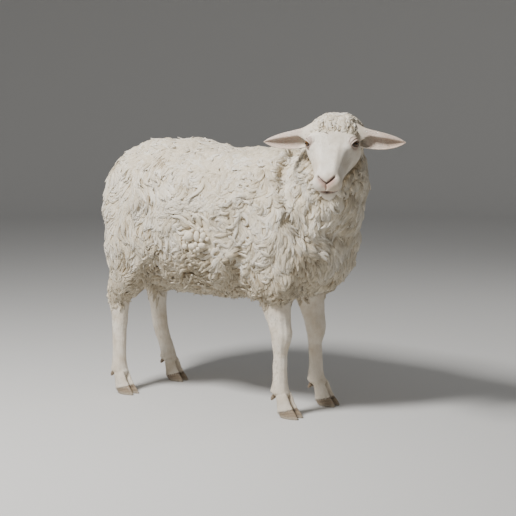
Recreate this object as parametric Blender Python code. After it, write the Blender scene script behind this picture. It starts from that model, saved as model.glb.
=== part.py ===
"""Life-size model of a standing sheep in a short fleece, its head turned to its right.

The animal faces -Y, +X is its left side and +Z is up. Its hooves stand on z = 0, and the
origin is below the middle of the whole animal. Flesh and fleece are lofted bodies: rings of
points carried along a path, whose half widths come from a short list of stations. The trunk,
neck and upper legs are fused by a voxel remesh and then parted again with thin cuts.
"""

import bmesh
import bpy
import numpy as np
from math import cos, pi, radians, sin
from mathutils import Matrix, Vector

# Driving dimensions, in metres. Heights include the fleece.
WITHERS_HEIGHT = 0.698
RUMP_HEIGHT = 0.722
BELLY_HEIGHT = 0.294
BRISKET_HEIGHT = 0.312
BELLY_HALF_WIDTH = 0.182
GAP = 0.0004
SOCKET_GAP = 0.0007

FORE_FOOT = Vector((0.086, -0.262, 0.0))
HIND_FOOT = Vector((0.107, 0.262, 0.0))
FOOT_LEAD = {"fore_left": -0.012, "fore_right": 0.0, "hind_left": -0.006, "hind_right": 0.008}
LEAD_TOP = 0.22
HOCK_LEAN = {1: 0.025, -1: 0.002}
DEWCLAW_HEIGHT = 0.057
FORE_HEM = 0.310
HIND_HEM = 0.272

POLL = Vector((-0.098, -0.398, 0.740))
HEAD_TURN = radians(68.5)
HEAD_DROP = radians(41)
EYE_RADIUS = 0.0135
EYE_AT = Vector((0.061, 0.0520, 0.021))
EAR_AT = Vector((0.022, 0.050, 0.010))
EAR_LENGTH = 0.125
EAR_HALF_HEIGHT = 0.0225
EAR_WALL = 0.0030
EAR_DROOP = 0.015

X, Y, Z = Vector((1, 0, 0)), Vector((0, 1, 0)), Vector((0, 0, 1))
FRONT = -Y


def material(name, colour, roughness):
    """A matt material of one colour."""
    made = bpy.data.materials.get(name)
    if made is None:
        made = bpy.data.materials.new(name)
        made.use_nodes = True
        shader = made.node_tree.nodes["Principled BSDF"]
        shader.inputs["Base Color"].default_value = (*colour, 1)
        shader.inputs["Roughness"].default_value = roughness
    return made


def fleece():
    return material("fleece", (0.62, 0.58, 0.50), 0.95)


def short_hair():
    return material("short_hair", (0.66, 0.62, 0.55), 0.8)


def horn():
    return material("hoof_horn", (0.36, 0.31, 0.25), 0.5)


def eyeball():
    return material("eyeball", (0.12, 0.08, 0.04), 0.1)


def in_between(stations, steps):
    """Catmull-Rom curve through the rows of stations, with this many steps from each to the next."""
    rows = np.array(stations, float)
    padded = np.vstack([2 * rows[0] - rows[1], rows, 2 * rows[-1] - rows[-2]])
    found = []
    for before, start, end, after in zip(padded, padded[1:], padded[2:], padded[3:]):
        for t in np.arange(steps) / steps:
            found.append(
                start
                + 0.5 * t * (end - before)
                + t**2 * (before - 2.5 * start + 2 * end - 0.5 * after)
                + t**3 * (1.5 * start - 1.5 * end + 0.5 * after - 0.5 * before)
            )
    return np.array(found + [rows[-1]])


def ring(half_across, half_up, half_down, sides, power):
    """Offsets (across, up) of a rounded outline, whose upper and lower halves have their own height."""
    angles = 2 * pi * np.arange(sides) / sides
    c, s = np.cos(angles), np.sin(angles)
    across = half_across * np.sign(c) * np.abs(c) ** (2 / power)
    height = np.where(s > 0, half_up, half_down)
    return across, height * np.sign(s) * np.abs(s) ** (2 / power)


def mesh_of_rings(name, rings):
    """A closed mesh of rings of points, one after another, with a fan at each end."""
    made = bmesh.new()
    loops = [[made.verts.new(point) for point in points] for points in rings]
    for first, second in zip(loops, loops[1:]):
        for i, corner in enumerate(first):
            after = (i + 1) % len(first)
            made.faces.new((corner, first[after], second[after], second[i]))
    for loop in (loops[0], loops[-1]):
        middle = made.verts.new(sum((v.co for v in loop), Vector()) / len(loop))
        for i, corner in enumerate(loop):
            made.faces.new((corner, loop[(i + 1) % len(loop)], middle))
    bmesh.ops.recalc_face_normals(made, faces=made.faces)
    mesh = bpy.data.meshes.new(name)
    made.to_mesh(mesh)
    made.free()
    return mesh


def loft(name, stations, sides=24, steps=4, power=2.0, across=(X, X), side=1, upright=False):
    """A closed body along a path. A station is (x, y, z, half across, half up, half down).

    Up is the path's direction crossed with across, so a path that runs forwards has its top
    up, and one that runs downwards has its top to the front. Upright sections all face
    forwards. side -1 mirrors the body to the right.
    """
    rows = in_between(stations, steps)
    rows[:, 3:] = np.maximum(rows[:, 3:], 0.0005)
    centres = rows[:, :3]
    forwards = np.gradient(centres, axis=0)
    if upright:
        forwards[:] = FRONT
    rings = []
    for i, (centre, forward, sizes) in enumerate(zip(centres, forwards, rows[:, 3:])):
        forward = Vector(forward).normalized()
        wide = across[0].lerp(across[1], i / (len(rows) - 1))
        wide = (wide - forward * wide.dot(forward)).normalized()
        high = forward.cross(wide)
        points = zip(*ring(*sizes, sides, power))
        rings.append([Vector(centre) + wide * a + high * b for a, b in points])
    if side < 0:
        rings = [[Vector((-p.x, p.y, p.z)) for p in points] for points in rings]
    return mesh_of_rings(name, rings)


def add(name, mesh, finish, parent=None):
    made = bpy.data.objects.new(name, mesh)
    bpy.context.scene.collection.objects.link(made)
    mesh.materials.clear()
    mesh.materials.append(finish)
    made.parent = parent
    mesh.shade_smooth()
    return made


def helper(name, mesh):
    """A guide or cutter, which is no part of the animal."""
    made = bpy.data.objects.new(name, mesh)
    bpy.context.scene.collection.objects.link(made)
    made.hide_render = True
    made.display_type = "WIRE"
    return made


def joined(name, meshes):
    """One mesh that holds all of these, still as separate shells."""
    made = bmesh.new()
    for mesh in meshes:
        made.from_mesh(mesh)
    whole = bpy.data.meshes.new(name)
    made.to_mesh(whole)
    made.free()
    return whole


def fused(name, meshes, voxel, smoothing, triangles):
    """The shells melted into one closed skin of about this many triangles."""
    shell = helper(name, joined(name, meshes))
    remesh = shell.modifiers.new("melt", "REMESH")
    remesh.mode = "VOXEL"
    remesh.voxel_size = voxel
    smooth = shell.modifiers.new("soften", "SMOOTH")
    smooth.factor = 0.5
    smooth.iterations = smoothing
    bpy.context.view_layer.update()
    graph = bpy.context.evaluated_depsgraph_get()
    dense = shell.evaluated_get(graph).data
    dense.calc_loop_triangles()
    thin = shell.modifiers.new("thin", "DECIMATE")
    thin.ratio = triangles / len(dense.loop_triangles)
    bpy.context.view_layer.update()
    graph = bpy.context.evaluated_depsgraph_get()
    mesh = bpy.data.meshes.new_from_object(shell.evaluated_get(graph))
    bpy.data.objects.remove(shell)
    return mesh


def box_between(name, low, high, grow=0.0):
    """A box from corner to corner, grown by the gap where it cuts room for its neighbour."""
    made = bmesh.new()
    bmesh.ops.create_cube(made, size=1)
    low, high = Vector(low) - Vector((grow,) * 3), Vector(high) + Vector((grow,) * 3)
    for vertex in made.verts:
        vertex.co = Vector(
            [middle + part * span for middle, part, span in
             zip((low + high) / 2, vertex.co, high - low)]
        )
    mesh = bpy.data.meshes.new(name)
    made.to_mesh(mesh)
    made.free()
    return helper(name, mesh)


def grown(name, mesh):
    """A cutter the shape of this mesh and larger by the gap all round."""
    wide = helper(name, mesh.copy())
    count = len(mesh.vertices)
    places = np.empty(count * 3)
    normals = np.empty(count * 3)
    mesh.vertices.foreach_get("co", places)
    mesh.vertex_normals.foreach_get("vector", normals)
    wide.data.vertices.foreach_set("co", places + normals * SOCKET_GAP)
    wide.data.update()
    return wide


def cut(thing, cutter, operation):
    modifier = thing.modifiers.new(operation.lower() + "_" + cutter.name, "BOOLEAN")
    modifier.operation = operation
    modifier.object = cutter
    modifier.solver = "EXACT"


def head_frame():
    """Head axes in the row frame: towards the nose, to the left, and up out of the forehead."""
    facing = Vector((-sin(HEAD_TURN), -cos(HEAD_TURN), 0))
    nose = facing * cos(HEAD_DROP) - Z * sin(HEAD_DROP)
    left = Z.cross(facing).normalized()
    crown = nose.cross(left)
    return nose, left, crown


NOSE, LEFT, CROWN = head_frame()


def in_head(u, v, w):
    """The place u ahead of the poll, v to its left and w above it, along the head's own axes."""
    return POLL + NOSE * u + LEFT * v + CROWN * w


def trunk_shell():
    """Rump, barrel and chest: upright sections from the rear end forwards."""
    tall, low = WITHERS_HEIGHT, BELLY_HEIGHT
    outline = (
        # y, top, bottom, half width, how far up the widest level is
        (0.356, 0.580, 0.470, 0.060, 0.52),
        (0.348, 0.630, 0.410, 0.104, 0.52),
        (0.316, 0.684, 0.350, 0.138, 0.52),
        (0.245, RUMP_HEIGHT - 0.007, 0.317, 0.160, 0.52),
        (0.165, RUMP_HEIGHT, 0.300, 0.173, 0.51),
        (0.070, RUMP_HEIGHT - 0.003, low, BELLY_HALF_WIDTH, 0.50),
        (-0.040, tall - 0.002, low, BELLY_HALF_WIDTH, 0.49),
        (-0.130, tall, low + 0.008, 0.170, 0.47),
        (-0.220, tall - 0.002, BRISKET_HEIGHT, 0.158, 0.44),
        (-0.290, tall - 0.045, BRISKET_HEIGHT + 0.006, 0.140, 0.44),
        (-0.350, tall - 0.110, BRISKET_HEIGHT + 0.036, 0.108, 0.46),
        (-0.382, 0.540, 0.410, 0.050, 0.48),
    )
    stations = []
    for y, top, bottom, half_width, level in outline:
        middle = bottom + level * (top - bottom)
        stations.append((0, y, middle, half_width, top - middle, middle - bottom))
    return loft("trunk_shell", stations, sides=40, steps=5, power=2.25, upright=True)


def neck_shell():
    """The woolly neck: from inside the shoulders up, round to the right and out to the head."""
    stations = (
        (0.000, -0.160, 0.490, 0.110, 0.130, 0.150),
        (-0.006, -0.255, 0.540, 0.114, 0.122, 0.150),
        (-0.020, -0.326, 0.592, 0.106, 0.110, 0.130),
        (-0.050, -0.360, 0.644, 0.092, 0.092, 0.112),
        (-0.078, -0.380, 0.686, 0.082, 0.078, 0.092),
        (-0.104, -0.388, 0.706, 0.062, 0.054, 0.060),
    )
    return loft("neck_shell", stations, sides=32, steps=5, across=(X, LEFT))


def thigh_shell(side):
    """The woolly upper hind leg, from the hip down to the hem at the hock."""
    foot = HIND_FOOT
    lean = HOCK_LEAN[side]
    stations = (
        (0.085, 0.180, 0.600, 0.040, 0.070, 0.060),
        (0.100, 0.205, 0.520, 0.066, 0.110, 0.118),
        (0.108, 0.225, 0.430, 0.066, 0.105, 0.106),
        (0.108, 0.255 + 0.4 * lean, 0.350, 0.052, 0.074, 0.070),
        (foot.x - 0.005, 0.285 + 0.9 * lean, 0.298, 0.038, 0.050, 0.045),
        (foot.x - 0.006, 0.292 + lean, 0.255, 0.032, 0.042, 0.039),
    )
    return loft("thigh_shell", stations, sides=24, steps=4, power=2.2, side=side)


def shoulder_shell(side):
    """The woolly shoulder and forearm, down to the hem above the knee."""
    foot = FORE_FOOT
    stations = (
        (0.090, -0.200, 0.620, 0.036, 0.060, 0.060),
        (0.104, -0.225, 0.520, 0.056, 0.095, 0.085),
        (0.104, -0.235, 0.420, 0.056, 0.085, 0.085),
        (0.098, -0.232, 0.355, 0.050, 0.064, 0.094),
        (foot.x, -0.228, 0.322, 0.046, 0.052, 0.092),
        (foot.x, -0.228, 0.288, 0.040, 0.044, 0.080),
    )
    return loft("shoulder_shell", stations, sides=24, steps=4, power=2.2, side=side)


def fleeced_nodes(root, head, ears, tail):
    """Trunk, neck and the four upper legs, melted together and parted with thin cuts."""
    shells = [trunk_shell(), neck_shell()]
    for side in (-1, 1):
        shells += [thigh_shell(side), shoulder_shell(side)]
    whole = fused("whole_fleece", shells, 0.008, 12, 2200)

    leg_boxes = {}
    for name, low, high in (
        ("thigh", (0.040, 0.110, HIND_HEM), (0.30, 0.50, 0.375)),
        ("forearm", (0.038, -0.335, FORE_HEM), (0.30, -0.110, 0.385)),
    ):
        leg_boxes[f"{name}_left"] = (Vector(low), Vector(high))
        mirrored = Vector((-high[0], *low[1:])), Vector((-low[0], *high[1:]))
        leg_boxes[f"{name}_right"] = mirrored

    pieces = {}
    for name in ("trunk", "neck", *leg_boxes):
        pieces[name] = add(name, whole.copy(), fleece(), root)

    neck_start = Vector((0, -0.268, 0.598))
    neck_way = Vector((-0.05, -0.92, 0.38)).normalized()
    neck_keep = helper("neck_keep", block_ahead(neck_start + neck_way * GAP, neck_way, 0.6))
    neck_room = helper("neck_room", block_ahead(neck_start, neck_way, 0.6))
    cut(pieces["neck"], neck_keep, "INTERSECT")
    cut(pieces["trunk"], neck_room, "DIFFERENCE")
    cut(pieces["neck"], grown("head_room", head.data), "DIFFERENCE")
    for ear in ears:
        cut(pieces["neck"], grown(ear.name + "_room", ear.data), "DIFFERENCE")
    cut(pieces["trunk"], grown("tail_room", tail.data), "DIFFERENCE")
    for name, (low, high) in leg_boxes.items():
        keep = box_between(name + "_keep", low, high)
        room_low = low.copy()
        room_low.z = 0.0
        room = box_between(name + "_room", room_low, high, GAP)
        cut(pieces[name], keep, "INTERSECT")
        cut(pieces["trunk"], room, "DIFFERENCE")
    return pieces


def block_ahead(start, way, size):
    """A big block whose back face goes through start, square to way."""
    made = bmesh.new()
    bmesh.ops.create_cube(made, size=size)
    turn = way.to_track_quat("Z", "Y").to_matrix().to_4x4()
    place = Matrix.Translation(start + way * (size / 2))
    made.transform(place @ turn)
    mesh = bpy.data.meshes.new("block")
    made.to_mesh(mesh)
    made.free()
    return mesh


def bump(points, centre, size, spread):
    """How much of a soft bump of this size each point gets, by its distance from the centre."""
    distance = np.linalg.norm((points - np.array(centre)) / np.array(spread), axis=1)
    return size * np.exp(-(distance**2))


def head_node(root):
    """Skull and muzzle in one, from the cut behind the ears to the lips."""
    outline = (
        # u, centre, half width, up, down
        (-0.044, -0.016, 0.020, 0.024, 0.020),
        (-0.040, -0.015, 0.048, 0.044, 0.040),
        (-0.022, -0.013, 0.066, 0.064, 0.056),
        (0.004, -0.010, 0.072, 0.068, 0.066),
        (0.028, -0.008, 0.070, 0.062, 0.070),
        (0.050, -0.006, 0.064, 0.050, 0.069),
        (0.072, -0.005, 0.056, 0.042, 0.065),
        (0.095, -0.005, 0.047, 0.038, 0.057),
        (0.122, -0.005, 0.0385, 0.034, 0.047),
        (0.148, -0.005, 0.0340, 0.030, 0.041),
        (0.168, -0.006, 0.0338, 0.026, 0.045),
        (0.181, -0.010, 0.0295, 0.020, 0.041),
        (0.190, -0.016, 0.0180, 0.012, 0.026),
    )
    stations = [(u, 0, w, half, up, down) for u, w, half, up, down in outline]
    rows = in_between(stations, 2)
    sides = 22
    rings = []
    for u, _, w, half, up, down in rows:
        across, height = ring(max(half, 0.002), max(up, 0.002), max(down, 0.002), sides, 2.3)
        points = np.stack([np.full(sides, u), across, w + height], axis=1)
        outward = points - np.array((u, 0, w))
        outward /= np.maximum(np.linalg.norm(outward, axis=1, keepdims=True), 1e-6)
        swell = np.zeros(sides)
        for mirror in (-1, 1):
            swell += bump(points, (0.056, mirror * 0.056, 0.030), 0.008, (0.024, 0.02, 0.014))
            swell += bump(points, (0.046, mirror * 0.058, -0.035), 0.003, (0.03, 0.03, 0.03))
            swell += bump(points, (0.172, mirror * 0.026, 0.002), 0.003, (0.014, 0.012, 0.014))
        points = points + outward * swell[:, None]
        rings.append([in_head(*point) for point in points])
    return add("head", mesh_of_rings("head", rings), short_hair(), root)


def eye_nodes(head, root):
    """Two eyeballs, each in a socket cut a little larger than itself."""
    for word, side in (("left", 1), ("right", -1)):
        centre = in_head(EYE_AT.x, side * EYE_AT.y, EYE_AT.z)
        for name, radius in ((f"eye_{word}", EYE_RADIUS), (f"socket_{word}", EYE_RADIUS + SOCKET_GAP)):
            made = bmesh.new()
            bmesh.ops.create_uvsphere(made, u_segments=12, v_segments=8, radius=radius)
            mesh = bpy.data.meshes.new(name)
            made.to_mesh(mesh)
            made.free()
            if name.startswith("eye"):
                ball = add(name, mesh, eyeball(), root)
            else:
                ball = helper(name, mesh)
                cut(head, ball, "DIFFERENCE")
            ball.location = centre
            ball.rotation_euler = (LEFT * side).to_track_quat("Z", "Y").to_euler()


def ear_rings(side, steps, across):
    """Sections of an ear: a wall rolled round its hollow, open in front, that ends in a point.

    At t along the ear the wall follows an ellipse from below the opening, round the back, over
    the top and down in front; its half height shrinks as (1 - t^3.2)^0.9.
    """
    facing = Vector((-sin(HEAD_TURN), -cos(HEAD_TURN), 0))
    out = (LEFT * side).normalized()
    rings = []
    for t in np.linspace(-0.08, 1, steps):
        at = max(t, 0.0)
        root_swell = np.exp(-((t / 0.16) ** 2))
        half_height = max(EAR_HALF_HEIGHT * (1 - at**3.2) ** 0.9, 0.0022) * (1 + 0.22 * root_swell)
        half_depth = half_height * (0.62 - 0.12 * at)
        wall = EAR_WALL * (1.4 - 0.7 * at)
        middle = in_head(EAR_AT.x, side * EAR_AT.y, EAR_AT.z) + out * EAR_LENGTH * t
        middle = middle - Z * EAR_DROOP * (1 - (1 - at) ** 2) + Z * 0.004 * root_swell
        first, last = radians(-58 - 20 * at), radians(-332 + 40 * at)
        points = []
        for scale, order in ((1, np.linspace(0, 1, across)), (-1, np.linspace(1, 0, across))):
            for share in order:
                angle = first + (last - first) * share
                thick = wall * 0.5 * scale * (0.35 + 0.65 * sin(pi * share))
                points.append(
                    middle
                    + facing * (half_depth + min(thick, half_depth * 0.5)) * cos(angle)
                    + Z * (half_height + min(thick, half_depth * 0.5)) * sin(angle)
                )
        rings.append(points)
    return rings


def ear_nodes(head, root):
    """Both ears, cut off where they meet the head."""
    head_room = grown("ear_foot_room", head.data)
    ears = []
    for word, side in (("left", 1), ("right", -1)):
        rings = ear_rings(side, 11, 7)
        ear = add(f"ear_{word}", mesh_of_rings(f"ear_{word}", rings), short_hair(), root)
        cut(ear, head_room, "DIFFERENCE")
        ears.append(ear)
    return ears


def shank_stations(where, side):
    """Centre line and half widths of a bare lower leg, from above its hem to inside the hoof."""
    if where.startswith("fore"):
        x, y = FORE_FOOT.x, FORE_FOOT.y + 0.030
        stations = (
            (x, y + 0.008, FORE_HEM + 0.010, 0.032, 0.038, 0.060),
            (x, y + 0.006, 0.285, 0.0285, 0.033, 0.048),
            (x, y + 0.002, 0.250, 0.0258, 0.0290, 0.036),
            (x, y - 0.001, 0.222, 0.0252, 0.0275, 0.0285),
            (x, y - 0.002, 0.194, 0.0232, 0.0242, 0.0245),
            (x, y + 0.000, 0.168, 0.0186, 0.0198, 0.0200),
            (x, y + 0.001, 0.125, 0.0174, 0.0188, 0.0192),
            (x, y + 0.001, 0.090, 0.0190, 0.0200, 0.0210),
            (x, y - 0.001, 0.066, 0.0216, 0.0222, 0.0250),
            (x, y - 0.010, 0.050, 0.0214, 0.0208, 0.0236),
            (x, y - 0.022, 0.036, 0.0232, 0.0196, 0.0205),
            (x, y - 0.029, 0.024, 0.0205, 0.0160, 0.0160),
        )
    else:
        lean = HOCK_LEAN[side]
        x, y = HIND_FOOT.x, HIND_FOOT.y + 0.024
        stations = (
            (x - 0.006, y + 0.010 + lean, HIND_HEM + 0.010, 0.0265, 0.0350, 0.0350),
            (x - 0.006, y + 0.010 + lean, 0.248, 0.0250, 0.0310, 0.0305),
            (x - 0.005, y + 0.008 + 0.9 * lean, 0.222, 0.0220, 0.0240, 0.0240),
            (x - 0.004, y + 0.007 + 0.8 * lean, 0.195, 0.0202, 0.0210, 0.0232),
            (x - 0.003, y + 0.006 + 0.6 * lean, 0.160, 0.0186, 0.0192, 0.0222),
            (x - 0.001, y + 0.004 + 0.3 * lean, 0.120, 0.0180, 0.0186, 0.0222),
            (x, y + 0.003, 0.090, 0.0190, 0.0190, 0.0238),
            (x, y + 0.000, 0.066, 0.0208, 0.0204, 0.0262),
            (x, y - 0.010, 0.050, 0.0202, 0.0186, 0.0232),
            (x, y - 0.019, 0.037, 0.0222, 0.0190, 0.0200),
            (x, y - 0.026, 0.024, 0.0195, 0.0160, 0.0160),
        )
    lead = FOOT_LEAD[where]
    return [
        (row[0], row[1] + lead * max(0.0, 1 - row[2] / LEAD_TOP), *row[2:]) for row in stations
    ]


def claw_mesh(name, inner):
    """One claw of a hoof: a pointed wall on a flat sole, straighter on its inner side."""
    rings = []
    for height, length, width, back in (
        (0.000, 0.0600, 0.0235, 0.0000),
        (0.005, 0.0615, 0.0247, -0.0005),
        (0.026, 0.0470, 0.0225, 0.0015),
        (0.036, 0.0380, 0.0200, 0.0035),
        (0.041, 0.0260, 0.0130, 0.0080),
    ):
        points = []
        for angle in 2 * pi * np.arange(10) / 10:
            along = 0.5 * (1 + cos(angle))
            across = sin(angle) * width / 2 * (1 - 0.5 * along**1.8)
            if across * inner > 0:
                across *= 0.62
            slope = 1 - 0.30 * (1 - along)
            points.append(Vector((across, -(back + length * along), height * slope)))
        rings.append(points)
    return mesh_of_rings(name, rings)


def dewclaw_mesh(name):
    """A short blunt horn, base at the origin, that points along +Z."""
    rings = []
    for height, radius in ((-0.006, 0.0070), (0.003, 0.0078), (0.011, 0.0045)):
        angles = 2 * pi * np.arange(8) / 8
        rings.append([Vector((radius * cos(a), 0.8 * radius * sin(a), height)) for a in angles])
    return mesh_of_rings(name, rings)


def leg_nodes(root):
    """The bare lower legs, with two claws and two dewclaws on each."""
    for kind, foot, heel, hem in (
        ("fore", FORE_FOOT, 0.030, FORE_HEM),
        ("hind", HIND_FOOT, 0.028, HIND_HEM),
    ):
        for word, side in (("left", 1), ("right", -1)):
            where = f"{kind}_{word}"
            lead = FOOT_LEAD[where]
            shank = loft(f"shank_{where}", shank_stations(where, side), 12, 1, 2.1, side=side)
            shank = add(f"shank_{where}", shank, short_hair(), root)
            above = box_between(f"above_{where}", (-0.2, -0.4, hem - GAP), (0.2, 0.45, 0.45))
            cut(shank, above, "DIFFERENCE")
            for place, inner in (("inner", 1), ("outer", -1)):
                claw = claw_mesh(f"claw_{where}_{place}", -inner * side)
                node = add(f"claw_{where}_{place}", claw, horn(), root)
                node.location = (side * (foot.x - inner * 0.0130), foot.y + heel + lead, 0)
                room = grown(f"claw_room_{where}_{place}", claw)
                room.location = node.location
                cut(shank, room, "DIFFERENCE")
                spur = dewclaw_mesh(f"dewclaw_{where}_{place}")
                node = add(f"dewclaw_{where}_{place}", spur, horn(), root)
                rear = foot.y + 0.047 if kind == "fore" else foot.y + 0.044
                node.location = (
                    side * (foot.x - inner * 0.0120),
                    rear + lead * (1 - DEWCLAW_HEIGHT / LEAD_TOP),
                    DEWCLAW_HEIGHT,
                )
                away = Vector((-side * inner * 0.35, 0.75, -0.62))
                node.rotation_euler = away.to_track_quat("Z", "Y").to_euler()
                room = grown(f"dewclaw_room_{where}_{place}", spur)
                room.location = node.location
                room.rotation_euler = node.rotation_euler
                cut(shank, room, "DIFFERENCE")


def tail_node(root):
    """A short woolly tail that lies against the rump."""
    stations = (
        (0, 0.318, 0.640, 0.022, 0.010, 0.014),
        (0, 0.340, 0.614, 0.031, 0.018, 0.022),
        (0, 0.356, 0.560, 0.035, 0.018, 0.024),
        (0, 0.360, 0.500, 0.034, 0.016, 0.024),
        (0, 0.357, 0.445, 0.029, 0.014, 0.020),
        (0, 0.352, 0.415, 0.014, 0.008, 0.009),
    )
    mesh = loft("tail", stations, sides=12, steps=2)
    return add("tail", mesh, fleece(), root)


def centre_on_origin(root):
    """Move the whole animal, cutters and all, so that its middle stands above the origin."""
    for thing in bpy.data.objects:
        if thing is not root and thing.parent is None:
            thing.parent = root
    bpy.context.view_layer.update()
    graph = bpy.context.evaluated_depsgraph_get()
    corners = []
    for node in root.children:
        if not node.hide_render:
            shape = node.evaluated_get(graph)
            corners += [shape.matrix_world @ vertex.co for vertex in shape.data.vertices]
    low = Vector([min(c[i] for c in corners) for i in range(3)])
    high = Vector([max(c[i] for c in corners) for i in range(3)])
    root.location = (-(low.x + high.x) / 2, -(low.y + high.y) / 2, -low.z)


def main():
    for thing in list(bpy.data.objects):
        bpy.data.objects.remove(thing)
    root = bpy.data.objects.new("sheep", None)
    bpy.context.scene.collection.objects.link(root)
    head = head_node(root)
    ears = ear_nodes(head, root)
    eye_nodes(head, root)
    leg_nodes(root)
    tail = tail_node(root)
    fleeced_nodes(root, head, ears, tail)
    centre_on_origin(root)


main()
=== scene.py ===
"""Looks of a life-size standing sheep in a short fleece, its head turned to its right.

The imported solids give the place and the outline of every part. Skin, lids, ears, eyes,
horn and each lock of wool are built here around them, in metres, with +Z up.
"""

from math import cos, pi, radians, sin

import bmesh
import bpy
import numpy as np
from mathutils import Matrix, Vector


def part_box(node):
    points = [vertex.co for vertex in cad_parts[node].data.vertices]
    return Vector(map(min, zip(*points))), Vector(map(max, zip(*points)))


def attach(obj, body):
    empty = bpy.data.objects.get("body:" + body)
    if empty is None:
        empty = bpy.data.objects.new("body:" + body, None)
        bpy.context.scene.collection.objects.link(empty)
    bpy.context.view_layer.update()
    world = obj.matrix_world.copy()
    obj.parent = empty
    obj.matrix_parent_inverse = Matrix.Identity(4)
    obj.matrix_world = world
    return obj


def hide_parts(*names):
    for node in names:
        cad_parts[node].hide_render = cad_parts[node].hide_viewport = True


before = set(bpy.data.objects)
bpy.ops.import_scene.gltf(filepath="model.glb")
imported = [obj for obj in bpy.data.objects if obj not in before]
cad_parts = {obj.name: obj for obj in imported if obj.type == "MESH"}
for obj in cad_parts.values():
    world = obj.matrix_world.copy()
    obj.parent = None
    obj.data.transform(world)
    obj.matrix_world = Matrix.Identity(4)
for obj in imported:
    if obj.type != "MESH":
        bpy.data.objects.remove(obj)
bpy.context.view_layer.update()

# Axes of the head and of the body
# The skull is turned to the animal's right and hangs forward. The two eyeballs give its
# left-right line and its place; the body's own origin is the floor point under its middle.

HEAD_DROP = radians(41)
EYE_FORWARD, EYE_UP = 0.061, 0.021
POLL_OVER_BODY = np.array((-0.098, -0.398, 0.740))
UP = np.array((0, 0, 1))


def size_of(vectors):
    """Lengths of vectors."""
    return np.linalg.norm(vectors, axis=-1)


def unit(vectors):
    """The same ways at length 1."""
    return vectors / np.maximum(size_of(vectors), 1e-12)[..., None]


def middle_of(name):
    """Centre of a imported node's box."""
    low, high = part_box(name)
    return (np.array(low) + np.array(high)) / 2


left_eye, right_eye = middle_of("eye_left"), middle_of("eye_right")
LEFT = unit(left_eye - right_eye)
FACING = np.cross(LEFT, UP)
NOSE = FACING * cos(HEAD_DROP) - UP * sin(HEAD_DROP)
CROWN = np.cross(NOSE, LEFT)
POLL = (left_eye + right_eye) / 2 - NOSE * EYE_FORWARD - CROWN * EYE_UP
BODY = POLL - POLL_OVER_BODY


def in_head(places):
    """World places of head places: u towards the nose, v to the left, w up out of the brow."""
    return POLL + np.asarray(places) @ np.stack([NOSE, LEFT, CROWN])


def head_places(points):
    """Head places (u, v, w) of world points."""
    return (points - POLL) @ np.stack([NOSE, LEFT, CROWN], axis=1)


# Camera, floor and light
# A long lens at the animal's eye level looks at its right front quarter. The floor and the
# air round it are plain and pale, and a broad soft light hangs to the upper left.

CAMERA_AZIMUTH = radians(-56.47)
CAMERA_RISE = radians(7)
CAMERA_DISTANCE = 3.0
CAMERA_LENS = 84.68
AIM_OVER_BODY = np.array((-0.224, -0.253, 0.433))
FLOOR_COLOUR = "#C9C7C3"
AIR_COLOUR = "#E6E8EB"
AIR_STRENGTH = 0.27
COVE_FLAT, COVE_BEND, COVE_TOP, COVE_SIDES = 6.0, 2.4, 3.6, 96
LIT_MIDDLE = np.array((0, 0, 0.45))
LIGHTS = (
    # name, watts, size, to the camera's right, up, towards the camera
    ("key_light", 150, 0.6, -1.35, 2.5, 1.2),
    ("rim_light", 10, 1.6, 2.1, 1.7, -1.3),
)


def colour(code, alpha=1.0):
    """Linear colour of an sRGB hex code."""
    channels = np.array([int(code[i : i + 2], 16) for i in (1, 3, 5)]) / 255
    linear = np.where(channels > 0.04045, ((channels + 0.055) / 1.055) ** 2.4, channels / 12.92)
    return (*linear, alpha)


def feed(made, values=(), **inputs):
    """Sets or links a shader node's inputs, each given by its place or by its name."""
    by_place = values.items() if isinstance(values, dict) else enumerate(values)
    for key, value in [*by_place, *inputs.items()]:
        socket = made.inputs[key if isinstance(key, int) else key.replace("_", " ")]
        if isinstance(value, bpy.types.NodeSocket):
            made.id_data.links.new(value, socket)
        else:
            socket.default_value = value
    return made


def node(tree, kind, settings=None, values=(), stops=(), **inputs):
    """Adds a shader node: its settings, its stops of (position, colour code), its inputs."""
    made = tree.nodes.new("ShaderNode" + kind)
    for key, value in (settings or {}).items():
        setattr(made, key, value)
    for place, (position, code) in enumerate(stops):
        given = made.color_ramp.elements
        stop = given[place] if place < len(given) else given.new(position)
        stop.position, stop.color = position, colour(code)
    return feed(made, values, **inputs)


def new_material(name, **inputs):
    """A Principled material of this name, with its tree and its shader to add nodes to."""
    made = bpy.data.materials.new(name)
    made.use_nodes = True
    return made, made.node_tree, feed(made.node_tree.nodes["Principled BSDF"], **inputs)


def shown(name, data, material=None):
    """A new object in the scene that holds this mesh, lens or lamp, in this material."""
    made = bpy.data.objects.new(name, data)
    bpy.context.scene.collection.objects.link(made)
    if material:
        data.materials.append(material)
    return made


def once_round(sides):
    """Even angles once round."""
    return np.linspace(0, 2 * pi, sides, endpoint=False)


def grid(*parts):
    """Coordinates or corner numbers joined along a new last axis; single ones stretch to fit."""
    return np.stack(np.broadcast_arrays(*parts), axis=-1)


camera_back = np.array((
    sin(CAMERA_AZIMUTH) * cos(CAMERA_RISE),
    -cos(CAMERA_AZIMUTH) * cos(CAMERA_RISE),
    sin(CAMERA_RISE),
))
camera = shown("camera", bpy.data.cameras.new("camera"))
camera.data.lens = CAMERA_LENS
camera.location = BODY + AIM_OVER_BODY + camera_back * CAMERA_DISTANCE
camera.rotation_euler = Vector(camera_back).to_track_quat("Z", "Y").to_euler()
bpy.context.scene.camera = camera

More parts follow.
